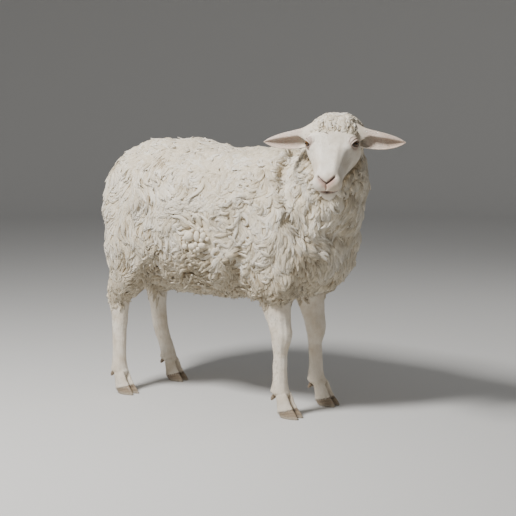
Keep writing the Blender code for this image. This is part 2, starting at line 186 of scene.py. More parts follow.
# Matt paint: one even pale colour with hardly any gloss, so that only soft shadows show on it.
matt_floor = new_material("matt_studio_paint", Roughness=0.9, Base_Color=colour(FLOOR_COLOUR))[0]
bend = np.linspace(0, pi / 2, 17)
curve_out, cove_reach = COVE_FLAT + COVE_BEND * np.sin(bend), COVE_FLAT + COVE_BEND
reach = np.concatenate([(0.5, 2.0, 4.0), curve_out, (cove_reach,)])
level = np.concatenate([(0, 0, 0), COVE_BEND * (1 - np.cos(bend)), (COVE_TOP,)])
turn = once_round(COVE_SIDES)
rings = grid(reach[:, None] * np.cos(turn), reach[:, None] * np.sin(turn), level[:, None])
row, column = np.meshgrid(np.arange(len(reach) - 1), np.arange(COVE_SIDES), indexing="ij")
low, after = row * COVE_SIDES, (column + 1) % COVE_SIDES
high = low + COVE_SIDES
quads = grid(low + column, high + column, high + after, low + after).reshape(-1, 4)
floor_mesh = bpy.data.meshes.new("studio_floor")
floor_mesh.from_pydata(rings.reshape(-1, 3), [], [tuple(range(COVE_SIDES)), *quads.tolist()])
floor_mesh.shade_smooth()
floor = shown("studio_floor", floor_mesh, matt_floor)

world = bpy.data.worlds.new("studio_air")
world.use_nodes = True
feed(world.node_tree.nodes["Background"], Color=colour(AIR_COLOUR), Strength=AIR_STRENGTH)
bpy.context.scene.world = world

right_of_camera = np.cross(UP, camera_back)
for name, energy, size, aside, up, back in LIGHTS:
    light = shown(name, bpy.data.lights.new(name, "AREA"))
    light.data.energy = energy
    light.data.size = size
    place = LIT_MIDDLE + right_of_camera * aside + camera_back * back
    place[2] = up
    light.location = place
    light.rotation_euler = Vector(place - LIT_MIDDLE).to_track_quat("Z", "Y").to_euler()

# The coat's outer surface
# The tips of the wool make one soft outline over trunk, neck, poll and upper legs. It is the
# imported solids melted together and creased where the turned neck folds; locks follow it.

MELT = 0.006
FLEECED = ["trunk", "neck", "tail", "forearm_left", "forearm_right", "thigh_left", "thigh_right"]
SHANKS = ["shank_fore_left", "shank_fore_right", "shank_hind_left", "shank_hind_right"]
NECK_FOLD = (  # over the body's origin, from the withers down the right side to the throat
    (-0.006, -0.227, 0.693),
    (-0.059, -0.239, 0.676),
    (-0.088, -0.242, 0.657),
    (-0.116, -0.251, 0.626),
    (-0.132, -0.264, 0.592),
    (-0.140, -0.279, 0.560),
    (-0.144, -0.296, 0.523),
    (-0.136, -0.312, 0.493),
    (-0.119, -0.334, 0.468),
    (-0.094, -0.360, 0.445),
)
FLANK_FOLD = ((0, 0.165, 0.520), (0, 0.131, 0.436), (0, 0.134, 0.388), (0, 0.160, 0.338))
ELBOW_FOLD = ((0, -0.164, 0.556), (0, -0.165, 0.480), (0, -0.152, 0.409), (0, -0.113, 0.341))


def points_of(mesh):
    """All the places of a mesh's vertices as one array."""
    found = np.empty(len(mesh.vertices) * 3)
    mesh.vertices.foreach_get("co", found)
    return found.reshape(-1, 3)


def move_points(mesh, points):
    """Puts a mesh's vertices at these places."""
    mesh.vertices.foreach_set("co", points.ravel())
    mesh.update()


def normals_of(mesh):
    """All the vertex normals of a mesh as one array."""
    found = np.empty(len(mesh.vertices) * 3)
    mesh.vertex_normals.foreach_get("vector", found)
    return found.reshape(-1, 3)


def melted_nodes(names):
    """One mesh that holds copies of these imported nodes, their loose triangles merged."""
    made = bmesh.new()
    for name in names:
        made.from_mesh(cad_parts[name].data)
    bmesh.ops.remove_doubles(made, verts=made.verts, dist=1e-6)
    mesh = bpy.data.meshes.new("melted")
    made.to_mesh(mesh)
    made.free()
    return mesh


def worked(mesh, *steps):
    """The mesh after a run of modifiers, each a kind and its settings."""
    thing = shown("worked", mesh)
    for kind, settings in steps:
        step = thing.modifiers.new(kind, kind)
        for key, value in settings.items():
            setattr(step, key, value)
    graph = bpy.context.evaluated_depsgraph_get()
    made = bpy.data.meshes.new_from_object(thing.evaluated_get(graph))
    bpy.data.objects.remove(thing)
    return made


def rise(values, low, high):
    """0 below low, 1 above high and a smooth step between; low may be the larger one."""
    share = np.clip((values - low) / (high - low), 0, 1)
    return share * share * (3 - 2 * share)


def hill(reach):
    """1 at no reach, falling off on both sides as exp(-reach^2)."""
    return np.exp(-(reach**2))


def from_curve(points, curve):
    """Distance of each point from the line of straight runs through the curve's places."""
    best = np.full(len(points), np.inf)
    for start, end in zip(np.array(curve)[:-1], np.array(curve)[1:]):
        run = end - start
        share = np.clip((points - start) @ run / (run @ run), 0, 1)
        best = np.minimum(best, size_of(points - start - share[:, None] * run))
    return best


def drift(points, size, seed):
    """Smooth made-up value of spread 1 that changes over this distance: ten plane waves."""
    dice = np.random.default_rng(seed)
    way = dice.normal(size=(10, 3))
    way *= (2 * pi / size * dice.uniform(0.55, 1.5, 10) / size_of(way))[:, None]
    return np.sin(points @ way.T + dice.uniform(0, 2 * pi, 10)).sum(axis=-1) / 5**0.5


def remesh(voxel):
    """Settings of a voxel remesh."""
    return ("REMESH", {"mode": "VOXEL", "voxel_size": voxel, "use_smooth_shade": True})


CHEST_WAY = np.array((0.55, -0.83, 0.0))
NECK_START = np.array((0, -0.268, 0.598))
NECK_WAY = unit(np.array((-0.05, -0.92, 0.38)))


def fold_relief(body):
    """Height of the body's folds: a crease and a roll across the neck, dips behind the limbs."""
    distance = from_curve(body, NECK_FOLD)
    ahead = rise((body - NECK_START) @ NECK_WAY, -0.01, 0.02)
    roll = hill((distance - 0.032) / 0.018)
    height = -0.0145 * hill(distance / 0.012) + roll * (0.006 * (1 - ahead) - 0.003 * ahead)
    from_side = body * (0, 1, 1)
    flank = rise(np.abs(body[:, 0]), 0.05, 0.10)
    height -= 0.013 * flank * hill(from_curve(from_side, FLANK_FOLD) / 0.024)
    return height - 0.010 * flank * hill(from_curve(from_side, ELBOW_FOLD) / 0.018)


outline_mesh = worked(
    melted_nodes([*FLEECED, *SHANKS, "head"]), remesh(MELT), ("SMOOTH", {"iterations": 5})
)
outline = points_of(outline_mesh)
outline_way = normals_of(outline_mesh)
body = outline - BODY
groove = fold_relief(body)
u, v, w = head_places(outline).T
on_face = rise(u, 0.0, 0.06) * rise(np.hypot(v, w + 0.01), 0.095, 0.078)
wooly = rise(body[:, 2], 0.27, 0.33) * (1 - on_face)
swell = 0.0022 * drift(outline, 0.11, 1) + 0.0014 * drift(outline, 0.055, 2)
chest = rise(outline_way @ CHEST_WAY, 0.3, 0.9) * rise(body[:, 1], -0.24, -0.30)
groove += chest * 0.013 * hill((body[:, 2] - 0.467) / 0.032)
groove -= chest * 0.007 * hill((body[:, 2] - 0.566) / 0.022)
under_chin = outline - in_head((0.140, 0.0, -0.085))
groove -= 0.013 * np.exp(-((under_chin / 0.030) ** 2).sum(axis=1))
outline = outline + outline_way * ((groove + swell * wooly) * wooly)[:, None]
move_points(outline_mesh, outline)
outline_mesh.shade_smooth()
coat_outline = shown("coat_outline", outline_mesh)


def nearest_on(thing, points, lift=0.0):
    """Nearest places to these points on an object's surface, or this far above it."""
    seeds = bpy.data.meshes.new("seeds")
    seeds.vertices.add(len(points))
    seeds.vertices.foreach_set("co", points.ravel())
    wrap = {"target": thing, "wrap_mode": "ABOVE_SURFACE", "offset": lift}
    return points_of(worked(seeds, ("SHRINKWRAP", wrap)))


def on_coat(points):
    """Nearest places on the coat's outline, and the smooth way out of it there."""
    place, above = (nearest_on(coat_outline, points, lift) for lift in (0.0, 0.01))
    return place, unit(above - place)


# Skin
# One hide over the whole animal: pink-white under short hair on the face, ears and lower
# legs, and bare under the wool. It is united from the shapes of head, ears, body and legs.

SKIN_DEPTH = 0.017
BODY_SKIN_TRIANGLES = 22000
BODY_VOXEL, SHANK_VOXEL = 0.007, 0.0025
HEAD_ROWS, HEAD_COLUMNS = 204, 184
HEAD_STATIONS = (
    # u, centre, half width, up, down
    (-0.0305, -0.018, 0.001, 0.001, 0.001),
    (-0.030, -0.018, 0.012, 0.012, 0.014),
    (-0.024, -0.016, 0.030, 0.024, 0.034),
    (-0.010, -0.012, 0.048, 0.040, 0.054),
    (0.008, -0.010, 0.058, 0.048, 0.063),
    (0.028, -0.008, 0.0640, 0.052, 0.069),
    (0.050, -0.006, 0.064, 0.050, 0.069),
    (0.072, -0.005, 0.056, 0.042, 0.065),
    (0.095, -0.005, 0.047, 0.038, 0.057),
    (0.122, -0.005, 0.0385, 0.034, 0.047),
    (0.148, -0.005, 0.0345, 0.030, 0.041),
    (0.168, -0.006, 0.0340, 0.026, 0.046),
    (0.180, -0.010, 0.0300, 0.021, 0.042),
    (0.1885, -0.018, 0.0205, 0.015, 0.029),
    (0.1920, -0.020, 0.0100, 0.008, 0.014),
    (0.1930, -0.020, 0.0005, 0.0005, 0.0005),
)


def along_stations(stations, rows):
    """Catmull-Rom curve through the stations, read at even steps of its own length."""
    given = np.array(stations)
    padded = np.vstack([2 * given[0] - given[1], given, 2 * given[-1] - given[-2]])
    share = np.linspace(0, 1, 24, endpoint=False)[:, None]
    runs = []
    for a, b, c, d in zip(padded, padded[1:], padded[2:], padded[3:]):
        curve = 2 * b + (c - a) * share + (2 * a - 5 * b + 4 * c - d) * share**2
        runs.append(0.5 * (curve + (3 * b - a - 3 * c + d) * share**3))
    fine = np.vstack([*runs, given[-1:]])
    length = np.append(0, size_of(np.diff(fine[:, :5], axis=0)).cumsum())
    steps = np.linspace(0, length[-1], rows)
    return grid(*(np.interp(steps, length, column) for column in fine.T))


def tubes(name, rings, ends, reverse=False):
    """Closed tubes, one or many, as one mesh.

    Their points come by tube, ring and column; a fan joins each tube's first and last ring to
    its two end points.
    """
    count, rows, columns = rings.shape[:3]
    row, here = np.meshgrid(np.arange(rows - 1) * columns, np.arange(columns), indexing="ij")
    after = (here + 1) % columns
    high = row + columns
    quads = grid(high + here, high + after, row + after, row + here)
    here, after, last, end = here[0], after[0], (rows - 1) * columns, rows * columns
    fans = np.vstack([grid(here, after, end), grid(last + after, last + here, end + 1)])
    if reverse:
        quads, fans = quads[..., ::-1], fans[:, (1, 0, 2)]
    start = (np.arange(count) * (end + 2))[:, None]
    loops = np.concatenate([(quads.ravel() + start).ravel(), (fans.ravel() + start).ravel()])
    totals = np.repeat((4, 3), (count * (rows - 1) * columns, count * len(fans)))
    points = np.concatenate([rings.reshape(count, -1, 3), ends], axis=1)
    mesh = bpy.data.meshes.new(name)
    mesh.vertices.add(count * (end + 2))
    mesh.vertices.foreach_set("co", points.ravel())
    mesh.loops.add(len(loops))
    mesh.loops.foreach_set("vertex_index", loops)
    mesh.polygons.add(len(totals))
    mesh.polygons.foreach_set("loop_start", np.append(0, totals.cumsum()[:-1]))
    mesh.polygons.foreach_set("loop_total", totals)
    mesh.shade_smooth()
    mesh.update(calc_edges=True)
    mesh.validate()
    return mesh


def closed_tube(name, rings):
    """One tube that closes over the middles of its first and last rings, its faces outwards."""
    ends = np.stack([rings[0].mean(0), rings[-1].mean(0)])
    return turned_outwards(tubes(name, rings[None], ends[None], reverse=True))


def turned_outwards(mesh):
    """The same mesh with its faces all pointing out."""
    made = bmesh.new()
    made.from_mesh(mesh)
    bmesh.ops.recalc_face_normals(made, faces=made.faces)
    made.to_mesh(mesh)
    made.free()
    return mesh


def bump(places, centre, size, spread):
    """Height of a soft bump of this size at each place, on both sides of the head."""
    mirrored = np.where((0, 1, 0), np.abs(places), places)
    return size * hill(size_of((mirrored - centre) / spread))


def crease(places, curve, width, size):
    """Height of a soft line of this width along a curve, on both sides of the head."""
    mirrored = np.where((0, 1, 0), np.abs(places), places)
    return size * hill(from_curve(mirrored, curve) / width)


SLIT = (
    (0.1715, 0.0215, 0.0175),
    (0.1765, 0.0150, 0.0135),
    (0.1815, 0.0070, 0.0090),
    (0.1845, 0.0, 0.0055),
)
PHILTRUM = ((0.1840, 0.0, 0.0060), (0.1915, 0.0, -0.0070))
MOUTH = (
    (0.1925, 0.0, -0.0142),
    (0.1885, 0.0120, -0.0150),
    (0.1790, 0.0235, -0.0190),
    (0.1600, 0.0305, -0.0255),
    (0.1420, 0.0335, -0.0300),
)
FACE_BUMPS = (
    # middle (u, v, w), height, spread
    ((0.056, 0.056, 0.030), 0.0070, (0.024, 0.020, 0.014)),  # brow
    ((0.046, 0.058, -0.035), 0.003, (0.03, 0.03, 0.03)),  # jaw muscle
    ((0.080, 0.046, 0.022), 0.0050, (0.016, 0.016, 0.016)),  # in front of the eye
    ((0.066, 0.057, 0.002), 0.0030, (0.018, 0.014, 0.012)),  # cheekbone
    ((0.176, 0.025, 0.000), 0.0036, (0.014, 0.012, 0.013)),  # muzzle pad
    ((0.184, 0.012, -0.002), 0.0026, (0.010, 0.009, 0.008)),  # upper lip
    ((0.170, 0.0, 0.018), 0.0030, (0.014, 0.011, 0.012)),  # tip of the nose
    ((0.1730, 0.0200, 0.0165), -0.0050, (0.0040, 0.0032, 0.0035)),  # nostril
    ((0.184, 0.0, -0.030), 0.0040, (0.012, 0.014, 0.009)),  # lower lip
    ((0.172, 0.0, -0.046), 0.0040, (0.014, 0.014, 0.008)),  # chin
)
FACE_LINES = (
    # curve, half width, height: brow's edge and the fold under it, nasal bridge, hollow beside it
    (((0.066, 0.052, 0.039), (0.048, 0.058, 0.040)), 0.007, 0.0018),
    (((0.081, 0.0490, 0.0260), (0.070, 0.0515, 0.0335), (0.056, 0.0560, 0.0365)), 0.0024, -0.0030),
    (((0.075, 0.022, 0.038), (0.120, 0.019, 0.030), (0.160, 0.016, 0.022)), 0.007, 0.0022),
    (((0.088, 0.040, 0.016), (0.120, 0.033, 0.008), (0.155, 0.031, 0.006)), 0.008, -0.0036),
    # Ridge of the cheek, tear groove, hollow of the cheek
    (((0.080, 0.056, -0.008), (0.105, 0.045, -0.012), (0.135, 0.037, -0.014)), 0.007, 0.0020),
    (((0.072, 0.0540, 0.016), (0.090, 0.048, 0.006), (0.104, 0.043, 0.000)), 0.0042, -0.0020),
    (((0.085, 0.046, -0.030), (0.130, 0.036, -0.028)), 0.012, -0.0016),
    # Nostril and the wing over it, philtrum, mouth and the upper lip's edge
    (SLIT, 0.0023, -0.0060),
    (((0.1690, 0.0190, 0.0215), (0.1760, 0.0110, 0.0175)), 0.0036, 0.0018),
    (PHILTRUM, 0.0016, -0.0040),
    (MOUTH, 0.0023, -0.0070),
    (((0.1900, 0.0, -0.0085), (0.1790, 0.0230, -0.0130)), 0.0045, 0.0016),
)


def head_relief(places):
    """How far the face stands out of the plain skull; the lower lip is set back under the upper."""
    u, v, w = places.T
    height = sum(bump(places, *row) for row in FACE_BUMPS)
    height += sum(crease(places, *row) for row in FACE_LINES)
    below = rise(w + 0.0165 + 0.35 * (0.185 - u), 0.0010, -0.0040)
    set_back = 0.0038 + 0.0026 * rise(np.abs(v), 0.010, 0.022)
    return height - set_back * below * rise(u, 0.120, 0.165)


def head_surface():
    """Rings of (u, v, w) round the head: a soft square of width, height and depth by station."""
    u, centre, half, up, down = along_stations(HEAD_STATIONS, HEAD_ROWS).T[:, :, None]
    angle = once_round(HEAD_COLUMNS)
    power = 2 / 2.3
    across = np.sign(np.cos(angle)) * np.abs(np.cos(angle)) ** power
    upward = np.sign(np.sin(angle)) * np.abs(np.sin(angle)) ** power
    height = np.where(upward > 0, np.maximum(up, 0.0005), np.maximum(down, 0.0005)) * upward
    across = np.maximum(half, 0.0005) * across
    rings = grid(u, across, centre + height)
    along = np.gradient(rings, axis=0)
    around = np.roll(rings, -1, axis=1) - np.roll(rings, 1, axis=1)
    out = unit(np.cross(around, along))
    out *= np.sign(((rings - grid(u, 0 * u, centre)) * out).sum(axis=-1).mean())
    relief = head_relief(rings.reshape(-1, 3)).reshape(rings.shape[:2])
    return rings + out * relief[..., None]


EYE_OUT = 0.0515
EYE_RADIUS = 0.0135
LID_TILT = 0.75
LID_BLEND = 0.0007
LID_LONG, LID_HIGH, LID_REACH = 0.0130, 0.0080, 0.0185
SOCKET_LONG, SOCKET_HIGH, SOCKET_DEPTH = 0.0130, 0.0100, 0.013
FACE_READ, FACE_BLUR = 0.032, 0.0016


def eye_axes(side):
    """Centre of an eyeball and the ways out of it, towards the nose and up, in head places."""
    centre = np.array((EYE_FORWARD, side * EYE_OUT, EYE_UP))
    out = unit(np.array((0.40, side * 0.82, 0.34)))
    level = np.array((1.0, 0.0, -0.12))
    ahead = unit(level - out * (out @ level))
    up = np.cross(ahead, out) * side
    return centre, out, ahead, up * np.sign(up[2])


def sunk_sockets(places):
    """The face with a round dish at each eye, so that the ball and its lids show."""
    for side in (-1, 1):
        centre, out, ahead, up = eye_axes(side)
        local = places - centre
        along, above = local @ ahead, local @ up
        wide = along * cos(LID_TILT) + above * sin(LID_TILT)
        high = above * cos(LID_TILT) - along * sin(LID_TILT)
        reach = np.hypot(wide / SOCKET_LONG, high / SOCKET_HIGH)
        depth = rise(reach, 1.10, 0.80) * (local @ out > 0)
        places = places - out * (SOCKET_DEPTH * depth)[..., None]
    return places


def lid_surface(side, face):
    """Both lids of an eye: a ring of skin on the ball, from the almond rim out into the face.

    At angle a round the ring the rim lies half an opening away, wide along the face and
    narrow across it. The skin rolls over that edge, lies on the ball, folds once and runs
    out at the height of the face, read as a weighted mean of the face's nearest places.
    """
    centre, out, ahead, up = eye_axes(side)
    angle = once_round(72)
    along, above = np.cos(angle), np.sin(angle)
    upper = rise(above, -0.3, 0.3)
    rim = 1 / np.sqrt((along / LID_LONG) ** 2 + (above / (LID_HIGH - 0.0006 * upper)) ** 2)
    turned_along = along * cos(LID_TILT) - above * sin(LID_TILT)
    turned_above = along * sin(LID_TILT) + above * cos(LID_TILT)
    near = face - centre
    near = near[(size_of(near) < FACE_READ) & (near @ out > 0)]
    flat_near = grid(near @ ahead, near @ up)
    rings = []
    for share in np.linspace(0, 1, 26):
        step = np.clip((share - 0.2) / 0.8, 0, 1)
        reach = rim + (LID_REACH - rim) * step
        edge = np.sin(min(share / 0.2, 1) * pi / 2)
        flat = grid(reach * turned_along, reach * turned_above)
        weight = np.exp(-(((flat[:, None] - flat_near) ** 2).sum(axis=2)) / FACE_BLUR**2)
        skin_height = (weight @ (near @ out)) / weight.sum(axis=1)
        ball_height = np.sqrt(np.maximum((EYE_RADIUS + 0.0012 + 0.0010 * upper) ** 2 - reach**2, 0))
        over = LID_BLEND * np.log(np.exp(skin_height / LID_BLEND) + np.exp(ball_height / LID_BLEND))
        height = ball_height + (over - ball_height) * rise(step, 0.05, 0.45)
        height += (0.0004 + 0.0010 * upper) * hill((step - 0.14) / 0.10)
        height -= (0.0008 + 0.0018 * upper) * hill((step - 0.34) / 0.08)
        height += (0.0004 + 0.0010 * upper) * hill((step - 0.52) / 0.09)
        height += (edge - 1) * 0.0022 + 0.0003 - 0.0030 * rise(step, 0.86, 1.0)
        reach_out = reach - 0.0006 * (1 - edge)
        rings.append(
            centre
            + out * height[:, None]
            + ahead * (reach_out * turned_along)[:, None]
            + up * (reach_out * turned_above)[:, None]
        )
    inside = [ring - out * 0.0045 for ring in (rings[-1], rings[10], rings[0])]
    return np.array([*rings, *inside])


EAR_AT = (0.022, 0.050, 0.010)
EAR_LENGTH, EAR_HALF_HEIGHT, EAR_WALL, EAR_DROOP = 0.125, 0.0225, 0.0032, 0.015
EAR_START, EAR_END, EAR_REACH = 0.070, 0.19, 0.045


def ear_surface(side):
    """Rings of one ear: a leaf rolled round its hollow, open in front, drawn out to a point.

    At t along the ear the wall goes from below the opening round the back, over the top and
    down in front, all the way at the root and less towards the point. Its half height
    shrinks as (1 - t^3.2)^0.9.
    """
    t = np.append(np.linspace(-0.10, 0.9, 74), np.linspace(0.91, 1.0, 14))[:, None]
    at = np.maximum(t, 0)
    swell = hill(t / 0.16)
    half_height = np.maximum(EAR_HALF_HEIGHT * (1 - at**3.2) ** 0.9, 0.0014) * (1 + 0.22 * swell)
    half_depth = half_height * (0.60 - 0.22 * rise(at, 0, 0.4))
    wall = EAR_WALL * (1.35 - 0.6 * at)
    share = np.linspace(0, 1, 30)[None, :]
    share = np.concatenate([share, share[:, ::-1]], axis=1)
    face = np.repeat((1.0, -1.0), 30)[None, :]
    first = np.radians(-56 - 32 * rise(at, 0.05, 0.35))
    last = np.radians(-342 + 14 * at - 62 * rise(t, 0.34, 0.02))
    angle = first + (last - first) * share
    to_rim = 0.42 + 0.58 * np.sin(pi * share) ** 0.5
    thick = np.minimum(wall * 0.5 * face * to_rim, half_depth * 0.5)
    vein = 0.0007 * np.sin(share * 19) * np.sin(pi * share) * (face < 0) * rise(t, 0.1, 0.35)
    ripple = 0.0010 * np.sin(9 * t + 3 * share) * np.sin(pi * np.clip(t, 0, 1))
    thick = thick + vein
    middle = in_head((EAR_AT[0], side * EAR_AT[1], EAR_AT[2]))
    middle = middle + LEFT * side * (EAR_LENGTH * t)[..., None]
    middle = middle - UP * (EAR_DROOP * (1 - (1 - at) ** 2) - 0.004 * swell)[..., None]
    forward = (half_depth + thick + ripple) * np.cos(angle)
    upward = (half_height + thick) * np.sin(angle)
    return middle + FACING * forward[..., None] + UP * upward[..., None]


def body_skin():
    """The coat's outline sunk in by the coat's depth, less on the upper legs and the neck's end."""
    smooth = ("SMOOTH", {"iterations": 4})
    mesh = worked(melted_nodes([*FLEECED, "head"]), remesh(BODY_VOXEL), smooth)
    points = points_of(mesh)
    over = points - BODY
    legs = rise(over[:, 2], 0.40, 0.33)
    depth = SKIN_DEPTH * (1 - 0.45 * legs) - fold_relief(over)
    move_points(mesh, points - normals_of(mesh) * depth[:, None])
    mesh = worked(mesh, remesh(BODY_VOXEL))
    share = BODY_SKIN_TRIANGLES / (2 * len(mesh.polygons))
    return worked(mesh, ("DECIMATE", {"ratio": share}))


def shank_skin():
    """The bare lower legs, finer than their solids: tendon grooves, and cut short over the toes.

    Their tops are drawn up into the woolly upper legs.
    """
    mesh = worked(melted_nodes(SHANKS), remesh(SHANK_VOXEL), ("SMOOTH", {"iterations": 5}))
    points = points_of(mesh)
    x, y, z = (points - BODY).T
    way = normals_of(mesh)
    relief = -0.0017 * way[:, 0] ** 2 * (rise(z, 0.085, 0.11) * rise(z, 0.30, 0.22))
    relief += 0.0004 * drift(points * (1, 1, 0.4), 0.016, 5) * rise(z, 0.05, 0.07)
    fore, ahead, behind = y < 0, np.maximum(-way[:, 1], 0), np.maximum(way[:, 1], 0)
    relief += fore * ahead * 0.0045 * hill((z - 0.218) / 0.020)
    relief -= fore * ahead * 0.0020 * hill((z - 0.165) / 0.020)
    relief += behind * 0.0045 * hill((z - 0.066) / 0.013)
    far_hind = ~fore & (x > 0)
    relief += far_hind * (0.0085 * behind - 0.0025 * ahead) * hill((z - 0.155) / 0.055)
    points = points + way * relief[:, None]
    points[:, 2] += 0.8 * np.maximum(0.047 - points[:, 2], 0)
    fore_top, hind_top = (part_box(f"shank_{end}_left")[1][2] for end in ("fore", "hind"))
    points[:, 2] += 2.5 * np.maximum(points[:, 2] - np.where(fore, fore_top, hind_top) + 0.014, 0)
    quarter = 2 * (x > 0) + (y < 0)
    for leg in range(4):
        mine = quarter == leg
        pastern = points[mine & (np.abs(points[:, 2] - 0.066) < 0.003)].mean(axis=0)
        sunk = 0.55 * rise(points[mine, 2], 0.066, 0.046)[:, None] * (1, 1, 0)
        points[mine] += (pastern - points[mine]) * sunk
    move_points(mesh, points)
    return mesh


TOE_OUTLINE = np.array((
    # height, front, back, outer and inner offset from the leg's middle
    (0.000, -0.0590, -0.0110, 0.0190, 0.0026),
    (0.004, -0.0602, -0.0050, 0.0197, 0.0022),
    (0.012, -0.0555, -0.0003, 0.0200, 0.0021),
    (0.020, -0.0490, 0.0012, 0.0200, 0.0021),
    (0.028, -0.0420, 0.0018, 0.0198, 0.0022),
    (0.038, -0.0350, 0.0022, 0.0199, 0.0022),
    (0.050, -0.0300, 0.0045, 0.0200, 0.0026),
    (0.062, -0.0240, 0.0065, 0.0190, 0.0045),
    (0.072, -0.0150, 0.0050, 0.0140, 0.0085),
))
TOE_SPLAY = 0.0022
CORONET_FRONT, CORONET_BACK = 0.0265, 0.0125
FEET = {}
for leg in ("fore_left", "fore_right", "hind_left", "hind_right"):
    inner_box, outer_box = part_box(f"claw_{leg}_inner"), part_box(f"claw_{leg}_outer")
    side = 1 if leg.endswith("left") else -1
    gap = (inner_box[1][0] + outer_box[0][0]) if side > 0 else (inner_box[0][0] + outer_box[1][0])
    FEET[leg] = (gap / 2, inner_box[1][1] - 0.0008, side)


def toe_surface(leg, place, angle, height, swell):
    """Places on a toe at these angles round it (0 in front) and heights, swollen by so much.

    Across, a toe is half a pointed egg: outer side round, inner side flatter; front, back and
    both sides are read from its outline at that height.
    """
    x, heel, side = FEET[leg]
    outwards = side if place == "outer" else -side
    front, back, outer, inner = (
        np.interp(height, TOE_OUTLINE[:, 0], column) for column in TOE_OUTLINE[:, 1:].T
    )
    along = 0.5 + 0.5 * np.cos(angle)
    blunt = rise(height, 0.0, 0.045)
    narrow = 1 - (0.50 - 0.30 * blunt) * along**2.2
    half, middle = (outer - inner) / 2, (outer + inner) / 2
    across = np.sin(angle)
    flat = np.where(across < 0, 0.84, 1.06)
    across = np.sign(across) * np.abs(across) ** 0.85 * flat * (half * narrow + swell)
    x_place = x + outwards * (middle + across + TOE_SPLAY * along * (1 - blunt) - 0.0006)
    y_place = heel + back + swell - (back - front + 2 * swell) * along
    return grid(x_place, y_place, height)


def coronet(angle):
    """Height at which horn gives way to hair: low at the heel, higher over the toe."""
    return CORONET_BACK + (CORONET_FRONT - CORONET_BACK) * (0.5 + 0.5 * np.cos(angle)) ** 0.8


def toe_skin(leg, place):
    """Hairy upper part of a toe, from a rounded lip over the horn up into the pastern."""
    angle = once_round(44)
    share = np.linspace(0, 1, 30)[:, None]
    low = coronet(angle)
    lip = np.sin(np.clip(share / 0.10, 0, 1) * pi / 2)
    height = low - 0.0022 * (1 - lip) + (0.071 - low) * np.clip((share - 0.06) / 0.94, 0, 1)
    return toe_surface(leg, place, angle, height, -0.0035 + 0.0046 * lip)


def united(base, parts):
    """Boolean union of a mesh with each of the other meshes in turn."""
    for part in parts:
        helper = shown("part", part)
        union = {"operation": "UNION", "object": helper, "solver": "MANIFOLD"}
        base = worked(base, ("BOOLEAN", union))
        bpy.data.objects.remove(helper)
    return base


def main_shell(mesh):
    """The mesh without the small closed pockets that unions leave inside it."""
    made = bmesh.new()
    made.from_mesh(mesh)
    left, shells = set(made.faces), []
    while left:
        shell, front = set(), {left.pop()}
        while front:
            shell |= front
            front = {far for face in front for edge in face.edges for far in edge.link_faces} & left
            left -= front
        shells.append(shell)
    shells.sort(key=len)
    bmesh.ops.delete(made, geom=[face for shell in shells[:-1] for face in shell], context="FACES")
    made.to_mesh(mesh)
    made.free()
    return mesh


face_rings = head_surface()
face_places = face_rings.reshape(-1, 3)
head_mesh = closed_tube("head_skin", in_head(sunk_sockets(face_rings)))
on_skull = [closed_tube("ear", ear_surface(side)) for side in (-1, 1)]
on_skull += [closed_tube("lids", in_head(lid_surface(side, face_places))) for side in (-1, 1)]
toes = [closed_tube("toe", toe_skin(leg, place)) for leg in FEET for place in ("inner", "outer")]
legged_body = united(body_skin(), [shank_skin(), *toes])
skin_mesh = main_shell(united(legged_body, [united(head_mesh, on_skull)]))
skin_mesh.shade_smooth()

LIP_MARGIN = (
    (0.1890, 0.0, -0.0196),
    (0.1850, 0.0120, -0.0204),
    (0.1755, 0.0225, -0.0240),
    (0.1570, 0.0300, -0.0300),
)
GROOVE_DEPTHS = (0, 0.0025, 0.0050, 0.0075, 0.0100)
NOSE_PAD = ((0.178, -0.016, 0.013), (0.190, 0.0, 0.001), (0.178, 0.016, 0.013))


def groove_floor(places, curve, width):
    """1 on the floor and the walls of a groove up to 10 mm deep along a face curve, 0 away."""
    inward = unit(np.array((0.150, 0, -0.008)) - curve)
    depths = [crease(places, curve + inward * depth, width, 1.0) for depth in GROOVE_DEPTHS]
    return np.max(depths, axis=0)


def fill_layers(mesh, **layers):
    """Fills a mesh's layers by vertex: UV maps from pairs, attributes from single values."""
    corner = np.empty(len(mesh.loops), int)
    mesh.loops.foreach_get("vertex_index", corner)
    for name, values in layers.items():
        values = values.astype(np.float32)
        if values.ndim == 2:
            mesh.uv_layers.new(name=name).data.foreach_set("uv", values[corner].ravel())
        else:
            mesh.attributes.new(name, "FLOAT", "POINT").data.foreach_set("value", values)


skin_points = points_of(skin_mesh)
skin_places = head_places(skin_points)
u, v, w = skin_places.T
from_ear_line = np.hypot(u - EAR_AT[0] - 0.006, w - EAR_AT[2] + 0.008)
ear_hollow = rise(np.abs(v), EAR_START, 0.095)
ear_hollow = ear_hollow * (from_ear_line < EAR_REACH) * (np.abs(v) < EAR_END)
in_front = rise(normals_of(skin_mesh) @ FACING, 0.1, 0.8)
near_nose = hill(from_curve(skin_places, NOSE_PAD) / 0.0085)
lips = bump(skin_places, (0.187, 0.010, -0.0165), 0.7, (0.010, 0.022, 0.0045))
from_eyes = [size_of(skin_places - eye_axes(side)[0]) for side in (-1, 1)]
rims = sum(hill((reach - EYE_RADIUS) / 0.004) for reach in from_eyes)
flush = np.clip(0.5 * ear_hollow * in_front + 0.8 * near_nose + lips + 0.5 * rims, 0, 1)
# Painted shade: the floors and walls of the nostril slits, the mouth and the philtrum, and the
# lower lip under the upper lip's edge, are coloured dark where shade falls; the lips and lid rims
# are partly also darker skin.
dusk = groove_floor(skin_places, SLIT, 0.0024) + 0.9 * groove_floor(skin_places, MOUTH[:4], 0.0022)
dusk += groove_floor(skin_places, LIP_MARGIN, 0.0036)
dusk = np.clip(dusk + 0.4 * groove_floor(skin_places, PHILTRUM, 0.0012) + 0.5 * rims, 0, 1)
fill_layers(skin_mesh, flush=flush, dusk=dusk)

